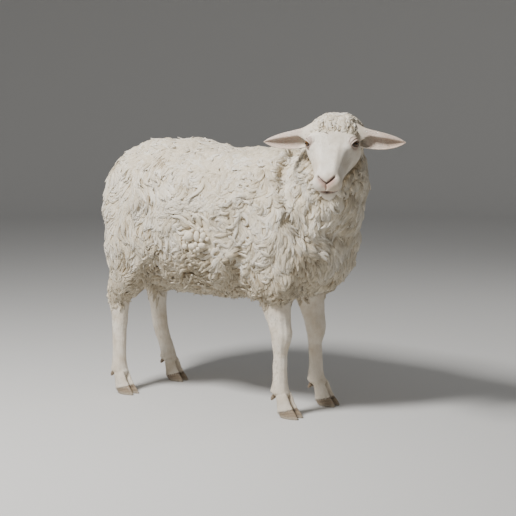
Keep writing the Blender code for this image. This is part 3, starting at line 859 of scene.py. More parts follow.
# Hide under short hair: cream-white hair about 8 mm long that lies flat, so the eye sees
# fine grain and faint pink skin where hair is thin, in the ears, on the nose and lids.
HAIR_WHITE, HAIR_SHADE = "#E3DACB", "#CDBFAA"
# The last colour here, a near-black brown, paints shade in the nostrils, the mouth line, the
# philtrum and under the upper lip's edge, and partly darker skin of the lips and lid rims.
BARE_PINK, BARE_DARK, SHADE_AND_LIP_DARK = "#C79A8A", "#8E6F64", "#3B2620"
HAIR_POINT = "#F1EBDF"


def hair_patches(tree, place):
    """Cream-white hair with darker patches about 45 mm apart, on the hide and its tufts alike."""
    patchy = node(tree, "TexNoise", Vector=place, Scale=22.0, Detail=5.0, Roughness=0.6)
    stops = ((0.32, HAIR_SHADE), (0.62, HAIR_WHITE))
    return node(tree, "ValToRGB", values=(patchy.outputs["Fac"],), stops=stops).outputs["Color"]


hide, tree, shader = new_material("short_haired_hide", Roughness=0.72, IOR=1.4)
place = node(tree, "TexCoord").outputs["Object"]
grain = node(tree, "TexNoise", Vector=place, Scale=520.0, Detail=3.0, Roughness=0.7).outputs["Fac"]
bare = node(tree, "ValToRGB", values=(grain,), stops=((0, BARE_DARK), (0.7, BARE_PINK)))
bareness = node(tree, "Attribute", {"attribute_name": "flush"}).outputs["Fac"]
shade_and_dark_skin_fac = node(tree, "Attribute", {"attribute_name": "dusk"}).outputs["Fac"]
colours = {0: bareness, 6: hair_patches(tree, place), 7: bare.outputs["Color"]}
blend = node(tree, "Mix", {"data_type": "RGBA"}, colours).outputs[2]
# Painted shade: the grooves of nostrils, mouth and philtrum and the lower lip under the upper lip
# are mixed towards the near-black brown, partly also darker lip and lid skin.
with_painted_shade = node(tree, "Mix", {"data_type": "RGBA"}, {0: shade_and_dark_skin_fac, 6: blend, 7: colour(SHADE_AND_LIP_DARK)})
lie = node(tree, "Mapping", Vector=place, Scale=(1.0, 1.0, 0.35)).outputs["Vector"]
hairs = node(tree, "TexNoise", Vector=lie, Scale=900.0, Detail=2.0).outputs["Fac"]
bumpy = node(tree, "Bump", Strength=0.35, Distance=0.0006, Height=hairs)
feed(shader, Base_Color=with_painted_shade.outputs[2], Normal=bumpy.outputs["Normal"])

skin_mesh.materials.clear()
skin = shown("skin", skin_mesh, hide)
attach(skin, "root")
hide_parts(*FLEECED, *SHANKS, "head", "ear_left", "ear_right")

# Wool
# A white fleece a few months grown: each lock is a bundle of crimped fibres, about 1 cm wide,
# that lies over the next and points down. It is straight on the thighs, waved on the flanks,
# in pointed shingles on neck and chest, and in small knots round elbows, hocks and cheeks.

LOCK_RINGS = 8
LOCK_TRIES = 400000
CELL_STRIDE = 4099
PERK = 0.011
STRAND_SHIFT, STRAND_COLUMNS = (0.0371, 0.0213), 97
CHART_PATCH = 0.003
LOCK_SECTION = np.array(((-1, 0), (-0.55, 0.85), (0.05, 0.60), (0.55, 1.0), (1, 0), (0, -0.40)))
ZONES = {
    # cell, length, width, thickness, swing, swings, turn,
    # root below, tip above, hang, gather, swirl
    "flank": (0.0134, 0.066, 0.0142, 0.0062, 0.85, 1.1, 2.5, 0.010, -0.0016, 0.000, 0.24, 0.95),
    "back": (0.0136, 0.052, 0.0156, 0.0034, 0.70, 0.8, 2.1, 0.008, -0.0030, 0.000, 0.10, 1.10),
    "thigh": (0.0116, 0.060, 0.0100, 0.0054, 0.30, 1.0, 0.8, 0.010, -0.0014, 0.000, 0.34, 0.30),
    "belly": (0.0122, 0.034, 0.0104, 0.0062, 0.60, 1.0, 2.0, 0.008, 0.0004, 0.009, 0.42, 0.80),
    "neck": (0.0120, 0.046, 0.0145, 0.0066, 0.34, 1.0, 0.8, 0.012, -0.0020, 0.003, 0.34, 0.25),
    "elbow": (0.0104, 0.028, 0.0110, 0.0070, 0.40, 1.0, 3.2, 0.008, 0.0004, 0.003, 0.22, 0.60),
    "hock": (0.0108, 0.032, 0.0092, 0.0056, 0.50, 1.0, 1.2, 0.008, 0.0006, 0.006, 0.42, 0.50),
    "cheek": (0.0136, 0.036, 0.0170, 0.0110, 0.30, 1.0, 4.6, 0.010, 0.0000, 0.001, 0.15, 0.50),
    "cap": (0.0088, 0.022, 0.0088, 0.0036, 0.70, 1.0, 1.8, 0.005, -0.0008, 0.000, 0.22, 0.90),
    "tail": (0.0112, 0.048, 0.0110, 0.0050, 0.30, 1.0, 0.4, 0.009, -0.0010, 0.004, 0.40, 0.30),
}
ELBOW_HEM, HOCK_HEM = 0.302, 0.262
KNOT_GAP = 0.0035
KNOT_GROUP = np.array((-0.181, -0.0296, 0.462))
KNOTS = np.array((
    # behind and above the bunch's middle, half length and half height
    (0.0205, 0.0075, 0.0140, 0.0140),
    (-0.0060, 0.0085, 0.0092, 0.0145),
    (-0.0250, 0.0100, 0.0088, 0.0110),
    (0.0150, -0.0190, 0.0135, 0.0088),
    (-0.0205, -0.0145, 0.0105, 0.0078),
    (-0.0010, -0.0125, 0.0072, 0.0066),
    (-0.0190, -0.0015, 0.0064, 0.0060),
    (0.0370, -0.0215, 0.0080, 0.0078),
    (0.0362, 0.0002, 0.0060, 0.0062),
    (0.0095, 0.0222, 0.0050, 0.0052),
    (-0.0105, 0.0275, 0.0052, 0.0058),
    (-0.0205, 0.0232, 0.0058, 0.0066),
    (0.0118, -0.0088, 0.0040, 0.0040),
    (-0.0070, -0.0250, 0.0062, 0.0056),
    (0.0265, -0.0102, 0.0052, 0.0050),
    (0.0060, -0.0312, 0.0048, 0.0046),
    (-0.0360, 0.0020, 0.0060, 0.0062),
))


def zone_shares(points, way):
    """How much each point of the coat belongs to each zone, in the order of ZONES."""
    x, y, z = (points - BODY).T
    u, v, w = head_places(points).T
    ahead = (points - BODY - NECK_START) @ NECK_WAY
    on_head = rise(np.hypot(v, w + 0.01), 0.090, 0.078) * rise(u, -0.070, -0.045)
    on_top = rise(w, -0.035, -0.005)
    low_front = rise(z, 0.372, 0.340) * rise(y, -0.120, -0.150) * rise(y, -0.345, -0.325)
    low_back = rise(z, 0.345, 0.315) * rise(y, 0.14, 0.17)
    near_face = rise(size_of(grid(u - 0.01, v, w + 0.03)), 0.118, 0.100)
    neck = rise(ahead, -0.018, 0.012) + rise(y, -0.25, -0.31) * rise(z, 0.62, 0.56)
    shares = {
        "back": 1.5 * rise(way[:, 2], 0.50, 0.85) * rise(y, -0.30, -0.25),
        "thigh": 1.2 * rise(y, 0.10, 0.17) * rise(way[:, 2], 0.75, 0.40),
        "belly": 2.0 * rise(way[:, 2], -0.30, -0.65),
        "neck": 3.0 * np.clip(neck, 0, 1),
        "elbow": 8.0 * low_front * rise(np.abs(x), 0.02, 0.045),
        "hock": 6.0 * low_back * rise(np.abs(x), 0.03, 0.05),
        "cheek": 12.0 * near_face * (1 - on_head * on_top) * rise(ahead, 0.02, 0.05),
        "cap": 60.0 * on_head * on_top,
        "tail": 9.0 * rise(y, 0.338, 0.350) * rise(np.abs(x), 0.036, 0.026),
    }
    rows = grid(*(shares.get(name, 0.12) for name in ZONES))
    return rows / rows.sum(axis=1, keepdims=True)


def lie_of_wool(points, shares):
    """The way wool points before it swirls: down and back, off the brow, or along the fold."""
    part = dict(zip(ZONES, shares.T))
    fold = np.array(NECK_FOLD) + BODY
    middles = (fold[1:] + fold[:-1]) / 2
    nearest = size_of(points[:, None] - middles).argmin(axis=1)
    along_fold = unit(np.diff(fold, axis=0))[nearest]
    at_fold = rise(from_curve(points, fold), 0.045, 0.015)
    way = np.tile((0.0, 0.45, -1.0), (len(points), 1))
    way += part["thigh"][:, None] * (0, -0.33, 0) + part["neck"][:, None] * (0.02, -0.30, 0)
    way += part["belly"][:, None] * (0, 1.0, 0.2) + part["elbow"][:, None] * (0, -0.35, 0)
    way += part["cap"][:, None] * (NOSE * 1.3 + np.array((0, -0.45, 0.5)))
    return way + at_fold[:, None] * along_fold * 3.0


def baldness(points):
    """1 on the face, the ear roots and the lower legs, 0 in the fleece, a soft step between."""
    _, y, z = (points - BODY).T
    u, _, w = head_places(points).T
    skull = shown("skull", head_mesh)
    from_skull = size_of(points - nearest_on(skull, points))
    bpy.data.objects.remove(skull)
    hairline = 0.006 + 0.032 * rise(w, 0.022, 0.040) + 0.012 * rise(w, -0.02, -0.05)
    hairline += 0.002 * drift(points, 0.03, 11)
    jaw = rise(w, 0.030, 0.010)
    reach = 0.0090 + 0.0050 * jaw * rise(u, 0.055, 0.090)
    bald = rise(from_skull, reach + 0.0018, reach - 0.0018) * rise(u - hairline, -0.006, 0.006)
    for side in (-1, 1):
        ear_root = in_head((EAR_AT[0], side * 0.066, EAR_AT[2] - 0.002))
        bald = np.maximum(bald, rise(size_of(points - ear_root), 0.022, 0.017))
    hem = np.where(y < 0, ELBOW_HEM - 0.25 * (y + 0.235), HOCK_HEM + 0.15 * np.abs(y - 0.30))
    return np.maximum(bald, rise(z - hem - 0.004 * drift(points, 0.03, 12), 0.004, -0.004))


def picked_triangles(mesh, dice, tries):
    """Corners of random triangles of a mesh, each as likely as it is large."""
    mesh.calc_loop_triangles()
    corners = np.empty(len(mesh.loop_triangles) * 3, int)
    mesh.loop_triangles.foreach_get("vertices", corners)
    corners = corners.reshape(-1, 3)
    a, b, c = points_of(mesh)[corners].transpose(1, 0, 2)
    area = size_of(np.cross(b - a, c - a))
    return corners[dice.choice(len(area), tries, p=area / area.sum())]


def scattered_roots(dice):
    """Points spread evenly over the coat: many random ones, thinned to one in each cell."""
    mesh = coat_outline.data
    picked = picked_triangles(mesh, dice, LOCK_TRIES)
    a, b, c = points_of(mesh)[picked].transpose(1, 0, 2)
    share, other = dice.random((2, LOCK_TRIES, 1))
    flip = share + other > 1
    share, other = np.where(flip, 1 - share, share), np.where(flip, 1 - other, other)
    points = a + share * (b - a) + other * (c - a)
    points = points[baldness(points) < 0.5]
    points, way = on_coat(points)
    shares = zone_shares(points, way)
    zone = shares.argmax(axis=1)
    cell = np.array([row[0] for row in ZONES.values()])[zone]
    places = np.floor(points / cell[:, None]).astype(int)
    keys = places @ CELL_STRIDE ** np.arange(3) + 7 * zone * CELL_STRIDE**3
    _, first = np.unique(keys, return_index=True)
    return points[first], way[first], shares[first]


def turned(vectors, axes, angles):
    """Vectors turned about axes that are square to them."""
    return vectors * np.cos(angles)[:, None] + np.cross(axes, vectors) * np.sin(angles)[:, None]


def grown_locks(roots, way, shares, dice):
    """Centre lines of the locks, the way out of the coat along them, and their sizes.

    Each line leaves its root the way the wool lies there, swings from side to side, curls by
    its zone's turn and keeps to the coat's outline; its height rises from root to tip.
    """
    count = len(roots)
    sizes = shares @ np.array(list(ZONES.values()))
    _, length, width, thick, swing, swings, turn, sunk, tip, hang, gather, swirl = sizes.T
    big = dice.beta(2.0, 3.0, count)
    length = length * (0.62 + 0.95 * big) * dice.uniform(0.85, 1.15, count)
    width = width * (0.68 + 0.80 * big) * dice.uniform(0.85, 1.15, count)
    thick = thick * (0.75 + 0.60 * big)
    turn = turn * np.where(drift(roots, 0.05, 21) > 0, 1, -1) * dice.uniform(0.5, 1.3, count)
    phase = pi * drift(roots, 0.09, 22) + dice.uniform(-0.6, 0.6, count)
    lean = dice.normal(0, 0.14, count)
    line, out = [roots], [way]
    for step in range(1, LOCK_RINGS):
        share = step / (LOCK_RINGS - 1)
        here, normal = line[-1], out[-1]
        lie = lie_of_wool(here, shares)
        lie = unit(lie - normal * (lie * normal).sum(axis=1, keepdims=True))
        heading = swirl * drift(here, 0.15, 23) + lean + turn * (share**2 - 0.15)
        heading += swing * np.sin(2 * pi * swings * share + phase) * (0.4 + 0.6 * share)
        forward = turned(lie, normal, heading) * (length / (LOCK_RINGS - 1))[:, None]
        place, normal = on_coat(here + forward)
        line.append(place)
        out.append(normal)
    line, out = np.array(line).transpose(1, 0, 2), np.array(out).transpose(1, 0, 2)

    warped = roots + 0.010 * grid(*(drift(roots, 0.05, seed) for seed in (24, 25, 26)))
    _, group = np.unique(np.floor(warped / 0.030).astype(int), axis=0, return_inverse=True)
    group = group.ravel()
    size = np.bincount(group)
    centre = grid(*(np.bincount(group, line[:, -1, k]) / size for k in range(3)))[group]
    share = np.linspace(0, 1, LOCK_RINGS)[None, :]
    line = line + (gather[:, None] * share**1.6)[..., None] * (centre - line[:, -1])[:, None, :]

    proud = (0.0016 * dice.normal(size=size.shape))[group] + dice.normal(0, 0.0007, count)
    perky = (dice.random(count) < 0.055) * dice.uniform(0.4, 1.0, count)
    top = tip - 0.6 * thick + proud
    height = -sunk[:, None] * (1 - share) ** 1.4 + top[:, None] * share**0.7
    height = height + (perky * PERK)[:, None] * share**3
    line = line + out * height[..., None]
    line[..., 2] -= hang[:, None] * share**2
    # Painted shade: locks of the belly, elbows and hocks, and all locks low on the body, get a
    # darker tone where shade falls under the body, partly also real soiling there.
    underside_shade_and_soil = shares @ np.isin(list(ZONES), ("belly", "hock", "elbow"))
    tone = (0.58 + 0.22 * dice.normal(size=size.shape))[group] + dice.normal(0, 0.12, count)
    tone = tone - 0.50 * underside_shade_and_soil - 0.32 * rise((roots - BODY)[:, 2], 0.46, 0.37)
    return line, out, length, width, thick, np.clip(tone, 0, 1)


def lock_mesh(name, line, out, length, width, thick, tone, chart, twist, section=LOCK_SECTION):
    """All the locks of one piece as a single mesh of ridged, tapered tubes.

    Round each centre line stands a section of two ridges with a valley between; its width
    goes as (0.55 + 0.45 sin(pi s^0.8)) (1 - s^2.6)^0.8 from root to tip, and the tip is a point.
    """
    count, rings = line.shape[:2]
    share = np.linspace(0, 1, rings)
    along = unit(np.gradient(line, axis=1))
    across = unit(np.cross(out, along))
    upward = np.cross(along, across)
    angle = twist[:, None] * (share - 0.3)[None, :]
    cosine, sine = np.cos(angle)[..., None], np.sin(angle)[..., None]
    across, upward = across * cosine + upward * sine, upward * cosine - across * sine
    profile = (0.55 + 0.45 * np.sin(pi * share**0.8)) * np.maximum(1 - share**2.6, 0) ** 0.8
    taper = profile[:-1, None]
    sides, rises = section[:, 0] * 0.5, section[:, 1]
    wide = (width[:, None, None] * taper * sides)[..., None]
    high = (thick[:, None, None] * np.sqrt(taper) * rises)[..., None]
    points = line[:, :-1, None] + across[:, :-1, None] * wide + upward[:, :-1, None] * high
    mesh = tubes(name, points, line[:, [0, -1]])

    ring_share = np.append(np.repeat(share[:-1], len(section)), (0.0, 1.0))
    side_share = np.append(np.tile(sides, rings - 1), (0.0, 0.0))
    lock = np.arange(count)[:, None]
    lengthwise = ring_share * length[:, None] + lock * STRAND_SHIFT[0]
    crosswise = side_share * width[:, None] + lock % STRAND_COLUMNS * STRAND_SHIFT[1]
    patch = chart[:, None] + grid(side_share, ring_share - 0.5) * CHART_PATCH
    fill_layers(
        mesh,
        strands=grid(lengthwise, crosswise).reshape(-1, 2),
        OFBake=patch.reshape(-1, 2),
        tone=np.repeat(tone, len(ring_share)),
        tipward=np.tile(ring_share, count),
    )
    return mesh


def unwrapped(points, leg=False, skull=False):
    """Where places lie on a plain unwrap of the hide: round the trunk, a leg or the skull.

    Each leg has a quarter of the width; an ear runs sideways out of the skull.
    """
    body = points - BODY
    u, v, w = head_places(points).T
    leg_x, leg_y = np.sign(body[:, 0]) * 0.095, np.where(body[:, 1] < 0, -0.235, 0.27)
    quarter = 2 * (body[:, 0] > 0) + (body[:, 1] < 0)
    round_leg = (np.arctan2(body[:, 0] - leg_x, body[:, 1] - leg_y) / (2 * pi) + 0.5 + quarter) / 4
    round_trunk = np.arctan2(body[:, 0], body[:, 2] - 0.5) / (2 * pi) + 0.5
    ear = np.abs(v) > 0.078
    round_ear = np.arctan2(w - EAR_AT[2], u - EAR_AT[0]) / (2 * pi) + 0.5
    round_skull = np.where(ear, 0.5 + 2.5 * v, np.arctan2(v, w + 0.03) / (2 * pi) + 0.5)
    along_skull = np.where(ear, 0.3 + 0.4 * round_ear, (u + 0.1) / 0.3)
    across = np.where(skull, round_skull, np.where(leg, round_leg, round_trunk))
    along = np.where(skull, along_skull, np.where(leg, body[:, 2] / 0.42, body[:, 1] + 0.5))
    return np.clip(grid(across, along), 0.003, 0.997)


# Washed wool: dull, cream-white keratin fibre, whiter at the weathered tips and yellower with
# grease near the root, where it is also darkened with painted shade as each lock lies under the
# next; the tone attribute also darkens it with painted shade under the body. Fibres 30 microns
# wide can't show, so strands are drawn 1 mm wide.
WOOL_TIP, WOOL_MIDDLE, WOOL_ROOT = "#EBE3D4", "#D2C5AD", "#8F7D62"
STRAND_WIDTH, STRAND_LENGTH = 0.0011, 0.016
wool, tree, shader = new_material(
    "washed_wool", Roughness=0.9, IOR=1.45, Specular_IOR_Level=0.25, Sheen_Weight=0.15,
    Sheen_Roughness=0.5,
)
tipward = node(tree, "Attribute", {"attribute_name": "tipward"}).outputs["Fac"]
tone = node(tree, "Attribute", {"attribute_name": "tone"}).outputs["Fac"]
strand_map = node(tree, "UVMap", {"uv_map": "strands"}).outputs["UV"]
strand_scale = (1 / STRAND_LENGTH, 1 / STRAND_WIDTH, 1.0)
stretch = node(tree, "Mapping", Vector=strand_map, Scale=strand_scale).outputs["Vector"]
strand = node(tree, "TexNoise", Vector=stretch, Scale=1.0, Detail=2.0, Roughness=0.55)
strand = strand.outputs["Fac"]
whiteness = node(tree, "Math", {"operation": "MULTIPLY_ADD"}, (strand, 0.8, -0.42)).outputs[0]
# Painted shade: the wool darkens towards each lock's root, partly grease and partly shade where the
# lock lies under the next, and with tone, which holds painted shade under the body.
for source, weight in ((tone, 0.46), (tipward, 0.60)):
    terms = (source, weight, whiteness)
    whiteness = node(tree, "Math", {"operation": "MULTIPLY_ADD"}, terms).outputs[0]
wool_stops = ((0.05, WOOL_ROOT), (0.42, WOOL_MIDDLE), (0.85, WOOL_TIP))
wool_ramp = node(tree, "ValToRGB", values=(whiteness,), stops=wool_stops)
strand_bump = node(tree, "Bump", Strength=0.9, Distance=0.0022, Height=strand)
feed(shader, Base_Color=wool_ramp.outputs["Color"], Normal=strand_bump.outputs["Normal"])

dice = np.random.default_rng(31)
roots, root_way, root_shares = scattered_roots(dice)
line, out, length, width, thick, tone_of = grown_locks(roots, root_way, root_shares, dice)
from_knots = line[:, 2:, None, 1:] - (BODY + KNOT_GROUP)[1:] - KNOTS[:, :2]
from_knots = size_of(from_knots / (KNOTS[:, 2:] + KNOT_GAP))
clear = (from_knots.min(axis=(1, 2)) > 1) | (line[:, 0, 0] > BODY[0])
roots, root_shares, line, out, length, width, thick, tone_of = (
    array[clear] for array in (roots, root_shares, line, out, length, width, thick, tone_of)
)
leg_share = root_shares @ np.isin(list(ZONES), ("elbow", "hock"))
charts = unwrapped(roots, leg_share > 0.5, root_shares @ np.isin(list(ZONES), "cap") > 0.5)
twists = dice.normal(0, 0.35, len(roots))
zone_of = np.array(list(ZONES))[root_shares.argmax(axis=1)]
side_of = np.where((roots - BODY)[:, 0] > 0, "left", "right")
one_piece = np.isin(zone_of, ("cap", "tail", "belly"))
piece_of = np.where(one_piece, zone_of, np.char.add(np.char.add(zone_of, "_"), side_of))


def felt_mesh():
    """The fleece's matted base: the coat's outline sunk under the tips, closed at its hems.

    It lies 3 mm deep on the back and 6 mm elsewhere, with soft swells 25 mm across, and dives
    under the skin where no wool grows; below the hems on the legs it is cut and capped.
    """
    mesh = coat_outline.data.copy()
    points, way = points_of(mesh), normals_of(mesh)
    shares = zone_shares(points, way)
    part = dict(zip(ZONES, shares.T))
    depth = 0.0062 - 0.0028 * part["back"] - 0.0022 * part["cap"] + 0.002 * part["belly"]
    depth = depth - 0.0012 * drift(points, 0.028, 27) - 0.0007 * drift(points, 0.014, 28)
    bald = baldness(points)
    low = rise((points - BODY)[:, 2], 0.36, 0.34)
    depth += bald * (0.014 * (1 - low) + 0.006 * low)
    move_points(mesh, points - way * depth[:, None])
    made = bmesh.new()
    made.from_mesh(mesh)
    for hem, ahead in ((ELBOW_HEM - 0.012, -1), (HOCK_HEM - 0.012, 1)):
        leg = [f for f in made.faces if ahead * (f.calc_center_median().y - BODY[1]) > 0]
        edges = dict.fromkeys(edge for face in leg for edge in face.edges)
        corners = dict.fromkeys(corner for face in leg for corner in face.verts)
        cut = bmesh.ops.bisect_plane(
            made, geom=[*leg, *edges, *corners], plane_co=(0, 0, hem), plane_no=(0, 0, -1),
            clear_outer=True,
        )
        rim = [edge for edge in cut["geom_cut"] if isinstance(edge, bmesh.types.BMEdge)]
        bmesh.ops.holes_fill(made, edges=rim, sides=0)
    loose = [v for v in made.verts if not v.link_faces]
    bmesh.ops.delete(made, geom=loose, context="VERTS")
    bmesh.ops.triangulate(made, faces=[face for face in made.faces if len(face.verts) > 4])
    made.to_mesh(mesh)
    made.free()
    mesh.shade_smooth()
    return mesh


# Felted under-wool: the same fibres matted and greasier, so the eye sees a duller, yellower
# ground between the locks, with the grain of staples about 4 mm wide and fine crimp on it.
FELT_DARK, FELT_PALE = "#B7A98F", "#DBD0BC"
felt_wool, tree, shader = new_material(
    "felted_under_wool", Roughness=0.95, IOR=1.45, Specular_IOR_Level=0.2
)
place = node(tree, "TexCoord").outputs["Object"]
staples = node(tree, "TexNoise", Vector=place, Scale=120.0, Detail=4.0, Distortion=1.6)
staples = staples.outputs["Fac"]
felt_ramp = node(tree, "ValToRGB", values=(staples,), stops=((0.30, FELT_DARK), (0.68, FELT_PALE)))
felt_bump = node(tree, "Bump", Strength=0.9, Distance=0.0022, Height=staples)
feed(shader, Base_Color=felt_ramp.outputs["Color"], Normal=felt_bump.outputs["Normal"])

felt = shown("wool_felt", felt_mesh(), felt_wool)
fill_layers(felt.data, OFBake=unwrapped(points_of(felt.data)))
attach(felt, "root")

for piece in np.unique(piece_of):
    mine = piece_of == piece
    name, values = f"wool_{piece}", (line, out, length, width, thick, tone_of, charts, twists)
    thing = shown(name, lock_mesh(name, *(array[mine] for array in values)), wool)
    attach(thing, "root")

# Knots in the fleece
# On the right flank wool has felted into a bunch of smooth hard knots, up to 3 cm across, each
# a coil of fibres rolled tight; the same fibres as the locks round them.

KNOT_RINGS, KNOT_SIDES = 13, 18
KNOT_FLATNESS, KNOT_PROUD = 0.82, 0.06


def knot_mesh(name):
    """Flattened balls sunk to their middles in the coat, ridged by a coil of strands.

    At polar angle p and turn t the radius swells by 3.5% of sin(9p + t), a spiral of strands.
    """
    middles = BODY + KNOT_GROUP + grid(0, KNOTS[:, 0], KNOTS[:, 1])
    middles, way = on_coat(middles)
    across = unit(np.cross(UP, way))
    upward = np.cross(way, across)
    polar = np.linspace(0.12, pi - 0.12, KNOT_RINGS)[:, None]
    turn = once_round(KNOT_SIDES)
    swell = 1 + 0.035 * np.sin(9 * polar + turn)
    around = swell * np.sin(polar)
    ball = grid(around * np.cos(turn), around * np.sin(turn), swell * np.cos(polar))
    local = np.vstack([ball.reshape(-1, 3), UP, -UP])
    deep = KNOTS[:, 2:].min(axis=1) * KNOT_FLATNESS
    places = middles[:, None] + across[:, None] * (local[:, 0] * KNOTS[:, 2:3])[..., None]
    places = places + upward[:, None] * (local[:, 1] * KNOTS[:, 3:4])[..., None]
    proud = local[:, 2] * deep[:, None] + KNOT_PROUD * deep[:, None]
    places = places + way[:, None] * proud[..., None]
    rings = places[:, :-2].reshape(len(KNOTS), KNOT_RINGS, KNOT_SIDES, 3)
    mesh = turned_outwards(tubes(name, rings, places[:, -2:]))
    coil = grid(local[:, 2] * 0.02, np.arctan2(local[:, 1], local[:, 0]) * 0.002)
    patch = unwrapped(middles)[:, None] + 0.5 * CHART_PATCH * local[None, :, :2]
    fill_layers(
        mesh,
        strands=np.tile(coil, (len(KNOTS), 1)),
        OFBake=patch.reshape(-1, 2),
        tone=np.full(len(mesh.vertices), 0.45),
        tipward=np.full(len(mesh.vertices), 0.66),
    )
    return mesh


knots = shown("wool_knots", knot_mesh("wool_knots"), wool)
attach(knots, "root")
bpy.data.objects.remove(coat_outline)

# Eyes
# Wet globes of an adult sheep: a clear cornea bulges over an amber iris, and the dark pupil
# is a rounded bar that keeps nearly level. They sit under the lids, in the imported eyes' place.

EYE_ROWS, EYE_COLUMNS = 44, 60
CORNEA_RISE = 0.0008
PUPIL_LONG, PUPIL_HIGH = 0.0056, 0.0024
IRIS_REACH = 0.0145


def eye_surface(side):
    """Rings of an eyeball round its way out, and how far along and over the level pupil each is.

    At angle a from the way out the radius is the ball's, plus the cornea's exp(-(a / 0.6)^2).
    """
    centre, out, ahead, up = eye_axes(side)
    angle = np.linspace(0.015, pi - 0.015, EYE_ROWS)[:, None]
    turn = once_round(EYE_COLUMNS)
    radius = EYE_RADIUS + CORNEA_RISE * np.exp(-((angle / 0.6) ** 2))
    along, above = radius * np.sin(angle) * np.cos(turn), radius * np.sin(angle) * np.sin(turn)
    rings = centre + out * (radius * np.cos(angle))[..., None] + ahead * along[..., None]
    rings = rings + up * above[..., None]
    level = unit(np.cross(out, np.stack([NOSE, LEFT, CROWN])[:, 2]))
    across = (rings - centre).reshape(-1, 3)
    gaze = grid(across @ level, across @ np.cross(out, level))
    return rings, np.vstack([gaze, np.zeros((2, 2))])


# Wet eye: cornea over pigmented iris, so the eye sees one sharp glint, then amber that darkens
# to a brown ring at the rim, a near-black bar of pupil, and a warm dull white outside.
IRIS_INNER, IRIS_OUTER, IRIS_RING = "#76522A", "#503618", "#20140C"
EYE_WHITE, PUPIL_BLACK = "#6E5443", "#070605"
IRIS_STOPS = (
    (0.20, IRIS_INNER), (0.50, IRIS_OUTER), (0.70, IRIS_RING), (0.76, IRIS_RING), (0.86, EYE_WHITE)
)
eyeball, tree, shader = new_material(
    "wet_eyeball", Roughness=0.05, IOR=1.376, Coat_Weight=0.6, Coat_Roughness=0.02
)
gaze = node(tree, "UVMap", {"uv_map": "gaze"}).outputs["UV"]
reach = node(tree, "VectorMath", {"operation": "LENGTH"}, (gaze,)).outputs["Value"]
rays = node(tree, "TexNoise", Vector=gaze, Scale=900.0, Detail=3.0).outputs["Fac"]
reach = node(tree, "Math", {"operation": "MULTIPLY_ADD"}, (rays, 0.0012, reach)).outputs[0]
reach = node(tree, "Math", {"operation": "DIVIDE"}, (reach, IRIS_REACH)).outputs[0]
iris = node(tree, "ValToRGB", values=(reach,), stops=IRIS_STOPS).outputs["Color"]
pupil_scale = (1 / PUPIL_LONG, 1 / PUPIL_HIGH, 0)
bar = node(tree, "VectorMath", {"operation": "MULTIPLY"}, (gaze, pupil_scale)).outputs[0]
squared = node(tree, "VectorMath", {"operation": "MULTIPLY"}, (bar, bar)).outputs[0]
squared = node(tree, "VectorMath", {"operation": "LENGTH"}, (squared,)).outputs["Value"]
smooth_step = {"interpolation_type": "SMOOTHSTEP"}
in_pupil = node(tree, "MapRange", smooth_step, (squared, 0.8, 1.15, 1.0, 0.0)).outputs[0]
seen = node(tree, "Mix", {"data_type": "RGBA"}, {0: in_pupil, 6: iris, 7: colour(PUPIL_BLACK)})
feed(shader, Base_Color=seen.outputs[2])

for side, name in ((1, "left"), (-1, "right")):
    rings, gaze_places = eye_surface(side)
    ball = shown(f"eyeball_{name}", closed_tube(f"eyeball_{name}", in_head(rings)), eyeball)
    fill_layers(ball.data, gaze=gaze_places)
    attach(ball, "root")
    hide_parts(f"eye_{name}")

# Hooves
# Each foot stands on two claws of horn that grow down from the coronet, their wall ringed by
# growth and worn flat below; two small dewclaws hang behind the fetlock.

HORN_ROWS, HORN_COLUMNS = 40, 56
GROWTH_RING = 0.0036
DEWCLAW_SIDES = 28
DEWCLAW_DROP = {"fore": 0.006, "hind": 0.001}


def with_ends(rings, wall_places):
    """The rings, and a list of their places on the wall with one more for each end's middle."""
    listed = wall_places.reshape(-1, 2)
    return rings, np.vstack([listed, listed[:1], listed[-1:]])


def claw_surface(leg, place):
    """Rings of one claw's horn from its flat sole to under the hair, and their wall places.

    The wall carries a ridge every 3.6 mm below the coronet, 0.25 mm high, and closes over the
    sole in rings that shrink towards its middle.
    """
    angle = once_round(HORN_COLUMNS)
    share = np.linspace(0, 1, HORN_ROWS)[:, None]
    height = (coronet(angle) + 0.003) * share
    below = coronet(angle) - height
    ring = 0.00025 * np.sin(2 * pi * below / GROWTH_RING) * rise(share, 0.03, 0.12)
    worn = -0.0012 * rise(share, 0.06, 0.0)
    wall = toe_surface(leg, place, angle, height, ring + worn)
    middle = wall[0].mean(axis=0)
    sole = np.array([middle + (wall[0] - middle) * reach for reach in (0.05, 0.4, 0.7, 0.92)])
    sole[:3, :, 2] += 0.0008
    sole[3, :, 2] += 0.0003
    lid = np.array([wall[-1].mean(axis=0) + (wall[-1] - wall[-1].mean(axis=0)) * 0.1])
    rings = np.concatenate([sole, wall, lid])
    depth = np.concatenate([np.full((4, HORN_COLUMNS), 0.028), below, below[-1:]])
    return with_ends(rings, grid(angle * 0.012, depth))


def dewclaw_surface(leg, place):
    """Rings of one dewclaw: a blunt cone that bends down, flat against the back of the foot."""
    low, high = (np.array(corner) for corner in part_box(f"dewclaw_{leg}_{place}"))
    root = (low + high) / 2
    root[2] -= DEWCLAW_DROP[leg[:4]]
    outwards = np.sign(root[0] - FEET[leg][0])
    root[1] -= 0.0015
    angle = once_round(DEWCLAW_SIDES)
    share = np.append(np.linspace(0, 0.9, 16), (0.95, 0.98, 1.0))[:, None]
    radius = 0.0082 * np.sqrt(np.maximum(1 - share**2.4, 0.0004)) * (1 - 0.15 * share)
    radius = radius + 0.00018 * np.sin(2 * pi * share * 4)
    back = unit(np.array((outwards * 0.22, 0.62, -0.75)))
    flat = np.cross(back, (1, 0, 0))
    wide = np.cross(flat, back)
    bend = -0.0015 * share**2
    line = root + back * (-0.006 + 0.0140 * share)[..., None] - flat * bend[..., None]
    rings = line + wide * (radius * np.cos(angle))[..., None]
    rings = rings + flat * (0.72 * radius * np.sin(angle))[..., None]
    return with_ends(rings, grid(angle * 0.007, share * 0.0155))


